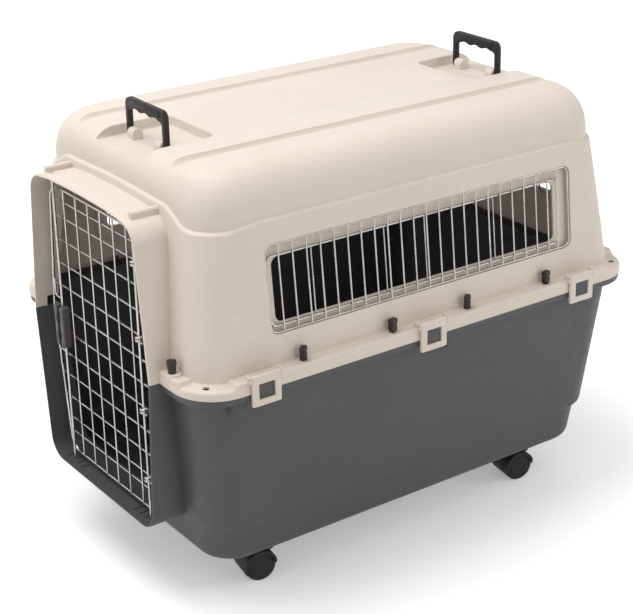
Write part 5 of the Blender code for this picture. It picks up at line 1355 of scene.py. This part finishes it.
def handle_outline():
    """A U of two legs and a grip with finger scallops beneath, seen from the front."""
    out_x = HANDLE_LEG_X + HANDLE_LEG_W / 2
    in_x = HANDLE_LEG_X - HANDLE_LEG_W / 2
    base = HANDLE_PIVOT_Z - HANDLE_FOOT
    grip_low = HANDLE_TOP_Z - GRIP_H
    corner = HANDLE_CORNER_R
    right = [(out_x, base), *arc(out_x - corner, HANDLE_TOP_Z - corner, corner, 0, 90, 12)]
    outline = right + [(-x, z) for x, z in reversed(right)]
    outline += [(-in_x, base), (-in_x, grip_low - GRIP_INSET * 0.7), (-in_x + GRIP_INSET, grip_low)]
    start = -in_x + 1.3 * GRIP_INSET
    width = -2 * start
    for i in range(SCALLOPS * 10 + 1):
        wave = 0.5 - 0.5 * math.cos(2 * math.pi * i / 10)
        outline.append((start + width * i / (SCALLOPS * 10), grip_low + SCALLOP_DEPTH * wave))
    return outline + [(in_x - GRIP_INSET, grip_low), (in_x, grip_low - GRIP_INSET * 0.7), (in_x, base)]


def make_handle(end):
    """Two flat legs with pivot stubs, and a thicker grip."""
    y = handle_y(end)
    in_x = HANDLE_LEG_X - HANDLE_LEG_W / 2
    near, far = y - HANDLE_HALF_T, y + HANDLE_HALF_T
    parts = [plate(f"handle_{end}_u", handle_outline(), FACING_Y, near, far, SOFT["handle"])]
    low = (y - GRIP_HALF_T, HANDLE_TOP_Z - GRIP_H + 1.5 * SCALLOP_DEPTH)
    grip = rounded(low, (y + GRIP_HALF_T, HANDLE_TOP_Z - GAP), GRIP_ROUND, 8)
    half = in_x - GRIP_INSET
    parts.append(plate(f"handle_{end}_grip", grip, FACING_X, -half, half, SOFT["grip"]))
    for side in (-1, 1):
        start = (side * (in_x + STUB_R), y, HANDLE_PIVOT_Z)
        stop = (side * (in_x - STUB_LENGTH), y, HANDLE_PIVOT_Z)
        parts.append(rod(f"handle_{end}_stub_{side_name(side)}", start, stop, STUB_R, 24, SOFT["stub"]))
    handle = merge(f"handle_{end}_form", *parts)
    return dress(handle, f"handle_{end}", "dark_plastic", f"handle_{end}")


def make_clip(side, index, y):
    """A square swing plate with a window round its catch, and its pivot pin."""
    label = f"{side_name(side)}_{index}"
    x0, x1 = span(side * (FLANGE_HALF_X + 1.5 * GAP), side * (FLANGE_HALF_X + CLIP_T))
    outline = rounded((y - CLIP_W / 2, CLIP_BASE_Z), (y + CLIP_W / 2, CLIP_TOP_Z), CLIP_CORNER_R, 6)
    clip = plate(f"clip_{label}_form", outline, FACING_X, x0, x1, CLIP_ROUND)
    half = CATCH_W / 2 + CATCH_PLAY
    low, high = (y - half, CATCH_Z0 - CATCH_PLAY), (y + half, CATCH_Z1 + CATCH_PLAY)
    outline = rounded(low, high, CLIP_WINDOW_R, 4)
    cut(clip, plate(f"clip_{label}_window", outline, FACING_X, x0 - CLIP_T, x1 + CLIP_T))
    start, end = clip_pin_line(side, y, CHEEK_W)
    cut(clip, rod(f"clip_{label}_bore", start, end, CLIP_PIN_R + GAP))
    settle(clip)
    dress(clip, f"clip_{label}", "beige_plastic", f"clip_{label}")
    start, end = clip_pin_line(side, y, CHEEK_W - GAP)
    pin = rod(f"clip_pin_{label}_form", start, end, CLIP_PIN_R, 20, SOFT["pin"])
    dress(pin, "shell", "wire", f"clip_pin_{label}")


def make_wing_bolt(name, x, y):
    """A plastic bolt through the flange, with a tall flat head that has a notch halfway up."""
    base = BAND_TOP_Z + GAP + (PAD_H if at_an_end(name) else SIDE_STANDOFF)
    profile = [(0, base + 0.0026), (BOLT_HUB_R * 0.80, base + 0.0026), (BOLT_HUB_R * 0.96, base + 0.0018)]
    profile += [(BOLT_HUB_R, base + 0.0008), (BOLT_HUB_R - 0.0006, base), (0, base)]
    parts = [turned(f"{name}_hub", profile, Matrix.Translation((x, y, 0)), 40)]
    start, end = (x, y, BOLT_BASE_Z), (x, y, base + WING_START)
    parts.append(rod(f"{name}_shank", start, end, BOLT_SHANK_R, 20, SOFT["shank"]))
    turn = Matrix.Rotation((x * BOLT_TURN_X + y * BOLT_TURN_Y) % BOLT_TURN_MOST, 4, "Z")
    frame = Matrix.Translation((x, y, 0)) @ turn
    foot = base + WING_FOOT
    outlines = []
    for share, width, depth in WING_LEVELS:
        half_x, half_y = WING_HALF_X * width, WING_HALF_Y * depth
        z = foot + (base + WING_H - foot) * share
        outlines.append((rounded((-half_x, -half_y), (half_x, half_y), half_y * WING_CORNER, 6), z))
    parts.append(stack(f"{name}_head", outlines, frame))
    return dress(merge(f"{name}_form", *parts), "shell", "brown_plastic", name)


def make_caster_stem(label, x, y):
    plate_z = TUB_BASE_Z - GAP
    root_z = TUB_BASE_Z + STEM_ROOT_H
    profile = [
        (0, root_z), (STEM_ROOT_R - 0.0005, root_z), (STEM_ROOT_R, root_z - 0.0005), (STEM_ROOT_R, plate_z),
        (PLATE_R - 0.0004, plate_z), (PLATE_R, plate_z - 0.0006), (PLATE_R, PLATE_BASE_Z + PLATE_ROUND),
        (PLATE_R - PLATE_ROUND, PLATE_BASE_Z), (STEM_R, PLATE_BASE_Z), (STEM_R, STEM_BASE_Z),
        (0, STEM_BASE_Z),
    ]
    stem = turned(f"caster_stem_{label}_form", profile, Matrix.Translation((x, y, 0)))
    dress(stem, "shell", "dark_plastic", f"caster_stem_{label}")


def caster_frame(x, y, turn):
    """A caster's wheel frame: its axes point away from the stem, up, and along the axle."""
    back = Vector((math.sin(turn), -math.cos(turn), 0))
    axle = Vector((math.cos(turn), math.sin(turn), 0))
    middle = Vector((x, y, WHEEL_R)) + back * TRAIL
    return frame_of(back, (0, 0, 1), axle, middle)


def cover_strip(name, frame, near, far, low_grow, high_grow):
    """A curved strip over the wheels between two levels of the axle, thinning towards both ends."""
    steps = 64
    outer, inner = [], []
    for i in range(steps + 1):
        angle = COVER_START + (COVER_END - COVER_START) * i / steps
        ease = smooth_step(min(i, steps - i), 0, steps * 0.10)
        out = WHEEL_R + low_grow + (high_grow - low_grow) * (0.35 + 0.65 * ease)
        turn = math.radians(180 - angle)
        outer.append((out * math.cos(turn), out * math.sin(turn)))
        deep = WHEEL_R + low_grow
        inner.append((deep * math.cos(turn), deep * math.sin(turn)))
    return plate(name, outer + list(reversed(inner)), frame, near, far, SOFT["cover"])


def make_caster_hood(label, x, y, frame):
    """A slab between the wheels, a cover that hugs both with a lip at each face, and the boss on the stem."""
    half = WHEEL_SPACE / 2 - GAP
    outline = arc(0, 0, WHEEL_R + HOOD_GROW, 0, 180, 40)
    parts = [plate(f"hood_slab_{label}", outline, frame, -half, half, SOFT["slab"])]
    top = PLATE_BASE_Z - GAP
    profile = [(0, top), (BOSS_R - 0.0010, top), (BOSS_R, top - 0.0010), (BOSS_R, BOSS_BASE_Z + 0.012)]
    profile += [(BOSS_R, BOSS_BASE_Z), (0, BOSS_BASE_Z)]
    parts.append(turned(f"hood_boss_{label}", profile, Matrix.Translation((x, y, 0)), 48))
    reach = half + WHEEL_W * COVER_SHARE
    parts.append(cover_strip(f"hood_cover_{label}", frame, -reach, reach, COVER_IN, COVER_OUT))
    for way in (-1, 1):
        near, far = span(way * reach, way * (reach + LIP_T))
        parts.append(cover_strip(f"hood_lip_{label}_{way}", frame, near, far, -LIP_IN, COVER_OUT))
    hood = merge(f"caster_hood_{label}_form", *parts)
    dress(hood, f"caster_swivel_{label}", "dark_plastic", f"caster_hood_{label}")


def make_caster_wheels(label, frame):
    """Two wheels on one axle, each with a rimmed face and a small hub cap."""
    reach = WHEEL_SPACE / 2 + AXLE_LAP
    start, end = frame @ Vector((0, 0, -reach)), frame @ Vector((0, 0, reach))
    parts = [rod(f"axle_{label}", start, end, AXLE_R, 24)]
    inner = WHEEL_SPACE / 2
    outer = inner + WHEEL_W
    rim = WHEEL_R - WHEEL_CHAMFER
    profile = [
        (0, outer + HUB_BULGE), (0.006, outer + HUB_BULGE * 0.92), (0.012, outer + HUB_BULGE * 0.68),
        (0.018, outer + HUB_BULGE * 0.28), (rim - 0.0032, outer - 0.0001), (rim - 0.0026, outer - 0.0007),
        (rim - 0.0018, outer - 0.0007), (rim - 0.0012, outer - 0.0001), (rim, outer - 0.0003),
        (rim + 0.0018, outer - 0.0018), (rim + 0.0036, outer - 0.0037),
        (WHEEL_R - 0.0009, outer - 0.0049), (WHEEL_R - 0.0002, outer - 0.0057),
        (WHEEL_R, outer - 0.0068), (WHEEL_R, inner + TREAD_ROUND),
        (WHEEL_R - TREAD_ROUND / 3, inner + TREAD_ROUND / 3), (WHEEL_R - TREAD_ROUND, inner), (0, inner),
    ]
    for end_name, way in (("a", 1), ("b", -1)):
        mirrored = frame if way > 0 else frame @ Matrix.Rotation(math.pi, 4, "Y")
        parts.append(turned(f"wheel_{label}_{end_name}", profile, mirrored, 72))
    wheels = merge(f"caster_wheels_{label}_form", *parts)
    dress(wheels, f"caster_roll_{label}", "wheel_rubber", f"caster_wheels_{label}")


def make_caster(label, x, y):
    frame = caster_frame(x, y, math.radians(CASTER_TURN[label.split("_")[0]]))
    make_caster_stem(label, x, y)
    make_caster_hood(label, x, y, frame)
    make_caster_wheels(label, frame)


def node(tree, kind, **values):
    made = tree.nodes.new(kind)
    for key, value in values.items():
        if key in made.inputs:
            made.inputs[key].default_value = value
        else:
            setattr(made, key, value)
    return made


def noise(tree, place, scale, detail=2.0, stretch=None):
    """A noise pattern in the piece's own space, stretched along an axis if asked."""
    source = place.outputs["Object"]
    if stretch:
        mapping = node(tree, "ShaderNodeMapping")
        mapping.inputs["Scale"].default_value = stretch
        tree.links.new(source, mapping.inputs["Vector"])
        source = mapping.outputs["Vector"]
    made = node(tree, "ShaderNodeTexNoise", Scale=scale, Detail=detail)
    tree.links.new(source, made.inputs["Vector"])
    return made.outputs["Fac"]


def remap(tree, value, low, high, start=0.3, end=0.7):
    made = node(tree, "ShaderNodeMapRange")
    for name, number in (("From Min", start), ("From Max", end), ("To Min", low), ("To Max", high)):
        made.inputs[name].default_value = number
    tree.links.new(value, made.inputs["Value"])
    return made.outputs["Result"]


def blended(tree, factor, first, second):
    """A colour between two, each a socket or a plain colour."""
    made = tree.nodes.new("ShaderNodeMix")
    made.data_type = "RGBA"
    tree.links.new(factor, made.inputs["Factor"])
    for name, value in (("A", first), ("B", second)):
        socket = [s for s in made.inputs if s.name == name and s.type == "RGBA"][0]
        if isinstance(value, tuple):
            socket.default_value = (*value, 1.0)
        else:
            tree.links.new(value, socket)
    return [s for s in made.outputs if s.type == "RGBA"][0]


def bumped(tree, value, strength, distance, under=None):
    made = node(tree, "ShaderNodeBump", Strength=strength, Distance=distance)
    tree.links.new(value, made.inputs["Height"])
    if under is not None:
        tree.links.new(under, made.inputs["Normal"])
    return made.outputs["Normal"]


def new_look(name):
    made = bpy.data.materials.new(name)
    made.use_nodes = True
    tree = made.node_tree
    return made, tree, tree.nodes["Principled BSDF"], tree.nodes.new("ShaderNodeTexCoord")


def seen_by(tree, *rays):
    """One for the kinds of ray that are named, nought for all others."""
    path = node(tree, "ShaderNodeLightPath")
    seen = path.outputs[rays[0]]
    for kind in rays[1:]:
        either = node(tree, "ShaderNodeMath", operation="MAXIMUM")
        tree.links.new(seen, either.inputs[0])
        tree.links.new(path.outputs[kind], either.inputs[1])
        seen = either.outputs[0]
    return seen


def softened(tree, radius):
    """Rounds the edges in shading, as a moulded part's edges are."""
    made = node(tree, "ShaderNodeBevel", Radius=radius)
    made.samples = 6
    return made.outputs["Normal"]


def plastic(name, base, patch, roughness, shine, grain, edge_radius, rub):
    """Moulded plastic: slightly uneven colour, fine grain, and scuffs that rub the gloss."""
    made, tree, shader, place = new_look(name)
    drift = remap(tree, noise(tree, place, 5.0, 3.0), 0.0, 1.0)
    color = blended(tree, drift, base, patch)
    specks = remap(tree, noise(tree, place, 420.0, 2.0), 0.0, 0.35, 0.55, 0.8)
    color = blended(tree, specks, color, tuple(c * 0.86 for c in base))
    scuffs = remap(tree, noise(tree, place, 34.0, 6.0), 0.0, rub, 0.60, 0.76)
    color = blended(tree, scuffs, color, tuple(min(1.0, c * 1.18 + 0.008) for c in base))
    tree.links.new(color, shader.inputs["Base Color"])
    shader.inputs["Specular IOR Level"].default_value = shine
    gloss = remap(tree, noise(tree, place, 60.0, 4.0), roughness - 0.05, roughness + 0.07)
    tree.links.new(gloss, shader.inputs["Roughness"])
    fine = noise(tree, place, 1500.0, 2.0)
    broad = noise(tree, place, 7.0, 1.0)
    normal = bumped(tree, broad, 0.08, 0.004, softened(tree, edge_radius))
    tree.links.new(bumped(tree, fine, grain, 0.0004, normal), shader.inputs["Normal"])
    return made


def plated_wire(name):
    """Bright plated steel wire: mirror-like, a little clouded, with drawn lines."""
    made, tree, shader, place = new_look(name)
    shader.inputs["Metallic"].default_value = 1.0
    cloud = remap(tree, noise(tree, place, 30.0, 4.0), 0.0, 1.0)
    color = blended(tree, cloud, (0.50, 0.485, 0.465), (0.36, 0.35, 0.335))
    specks = remap(tree, noise(tree, place, 260.0, 3.0), 0.0, 0.6, 0.62, 0.78)
    tree.links.new(blended(tree, specks, color, (0.26, 0.235, 0.21)), shader.inputs["Base Color"])
    tree.links.new(remap(tree, noise(tree, place, 120.0, 3.0), 0.18, 0.34), shader.inputs["Roughness"])
    drawn = noise(tree, place, 900.0, 2.0, (1.0, 1.0, 0.12))
    tree.links.new(bumped(tree, drawn, 0.12, 0.0002), shader.inputs["Normal"])
    return made


def rubber(name):
    """Hard wheel rubber with dust on it."""
    made, tree, shader, place = new_look(name)
    dust = remap(tree, noise(tree, place, 40.0, 5.0), 0.0, 0.5, 0.45, 0.75)
    shader.inputs["Specular IOR Level"].default_value = 0.30
    color = blended(tree, dust, (0.0120, 0.0118, 0.0116), (0.024, 0.0230, 0.0215))
    tree.links.new(color, shader.inputs["Base Color"])
    tree.links.new(remap(tree, noise(tree, place, 90.0, 3.0), 0.48, 0.70), shader.inputs["Roughness"])
    fine = noise(tree, place, 900.0, 3.0)
    tree.links.new(bumped(tree, fine, 0.25, 0.0003, softened(tree, 0.0006)), shader.inputs["Normal"])
    return made


BEIGE = ((0.665, 0.596, 0.522), (0.640, 0.570, 0.494))
GREY = ((0.075, 0.0735, 0.0785), (0.066, 0.0650, 0.0700))
BLACK = ((0.0100, 0.0096, 0.0098), (0.0130, 0.0124, 0.0124))
BROWN = ((0.0165, 0.0118, 0.0095), (0.0240, 0.0170, 0.0138))
MAUVE = ((0.095, 0.083, 0.092), (0.080, 0.071, 0.079))
LOOKS = {
    "beige_plastic": plastic("beige_plastic_look", *BEIGE, 0.50, 0.38, 0.16, 0.0016, 0.22),
    "grey_plastic": plastic("grey_plastic_look", *GREY, 0.52, 0.34, 0.22, 0.0014, 0.16),
    "dark_plastic": plastic("dark_plastic_look", *BLACK, 0.46, 0.30, 0.20, 0.0010, 0.20),
    "brown_plastic": plastic("brown_plastic_look", *BROWN, 0.44, 0.35, 0.20, 0.0010, 0.20),
    "latch_plastic": plastic("latch_plastic_look", *MAUVE, 0.44, 0.35, 0.16, 0.0008, 0.20),
    "wire": plated_wire("wire_look"),
    "wheel_rubber": rubber("wheel_rubber_look"),
}


def make_floor():
    """A large pale floor. It adds light for the eye, mirrors and glass, less of it near the crate as a
    painted shade round its foot, and keeps the shadow.
    """
    work = bmesh.new()
    bmesh.ops.create_grid(work, x_segments=8, y_segments=8, size=FLOOR_HALF)
    bmesh.ops.translate(work, vec=(0, 0, -FLOOR_GAP), verts=work.verts)
    floor = object_from(work, "floor")
    made, tree, shader, place = new_look("floor_look")
    tint = remap(tree, noise(tree, place, 3.0, 2.0), 0.0, 1.0)
    color = blended(tree, tint, FLOOR_COLOR, tuple(c * 0.995 for c in FLOOR_COLOR))
    tree.links.new(color, shader.inputs["Base Color"])
    shader.inputs["Roughness"].default_value = 0.9
    shader.inputs["Specular IOR Level"].default_value = 0.1
    range_out = node(tree, "ShaderNodeVectorMath", operation="LENGTH")
    tree.links.new(place.outputs["Object"], range_out.inputs[0])
    # The added light is dimmer near the crate, a painted shade that darkens the floor round its foot
    glow_with_painted_shade = remap(tree, range_out.outputs["Value"], *FLOOR_GLOW_WITH_PAINTED_SHADE, *FLOOR_PAINTED_SHADE_REACH)
    shown = node(tree, "ShaderNodeMath", operation="MULTIPLY")
    tree.links.new(seen_by(tree, *WHITE_FOR), shown.inputs[0])
    tree.links.new(glow_with_painted_shade, shown.inputs[1])
    tree.links.new(shown.outputs[0], shader.inputs["Emission Strength"])
    shader.inputs["Emission Color"].default_value = (1, 1, 1, 1)
    floor.data.materials.append(made)
    bpy.context.scene.collection.objects.link(floor)


def make_world():
    """White where it is seen or mirrored, and a softer even light on everything else."""
    world = bpy.data.worlds.new("studio")
    bpy.context.scene.world = world
    world.use_nodes = True
    tree = world.node_tree
    lit = tree.nodes["Background"]
    lit.inputs["Color"].default_value = (1.0, 0.985, 0.97, 1)
    lit.inputs["Strength"].default_value = WORLD_LIGHT
    seen = node(tree, "ShaderNodeBackground")
    seen.inputs["Color"].default_value = (1, 1, 1, 1)
    mix = node(tree, "ShaderNodeMixShader")
    tree.links.new(seen_by(tree, *WHITE_FOR), mix.inputs["Fac"])
    tree.links.new(lit.outputs[0], mix.inputs[1])
    tree.links.new(seen.outputs[0], mix.inputs[2])
    tree.links.new(mix.outputs[0], tree.nodes["World Output"].inputs["Surface"])


def make_lamp(name, place, aim, size, power):
    lamp = bpy.data.lights.new(name, "AREA")
    lamp.shape = "RECTANGLE"
    lamp.size, lamp.size_y = size
    lamp.energy = power
    made = bpy.data.objects.new(name, lamp)
    made.location = place
    made.rotation_euler = (Vector(aim) - Vector(place)).to_track_quat("-Z", "Y").to_euler()
    bpy.context.scene.collection.objects.link(made)


def make_camera():
    camera = bpy.data.cameras.new("camera")
    camera.lens = CAMERA_LENS
    camera.sensor_width = 36.0
    camera.sensor_fit = "HORIZONTAL"
    camera.clip_end = 50.0
    made = bpy.data.objects.new("camera", camera)
    made.matrix_world = frame_of(CAMERA_RIGHT, CAMERA_UP, CAMERA_BACK, CAMERA_PLACE)
    bpy.context.scene.collection.objects.link(made)
    bpy.context.scene.camera = made


def main():
    make_upper_shell()
    make_lower_shell()
    make_window_grille(1)
    make_window_grille(-1)
    make_rear_grille()
    make_door_mat()
    make_hinge_rod()
    make_latch_housing()
    for label, sign in (("upper", 1), ("lower", -1)):
        make_latch_slide(label, sign)
        make_latch_rod(label, sign)
    make_handle("front")
    make_handle("rear")
    for side in (1, -1):
        for index, y in enumerate(CLIP_Y, 1):
            make_clip(side, index, y)
    for name, x, y in bolt_places():
        make_wing_bolt(name, x, y)
    for label, (x, y) in caster_places().items():
        make_caster(label, x, y)
    make_floor()
    make_world()
    for name, lamp in LAMPS.items():
        make_lamp(name, *lamp)
    make_camera()
    bpy.context.scene.view_settings.view_transform = "Standard"


main()
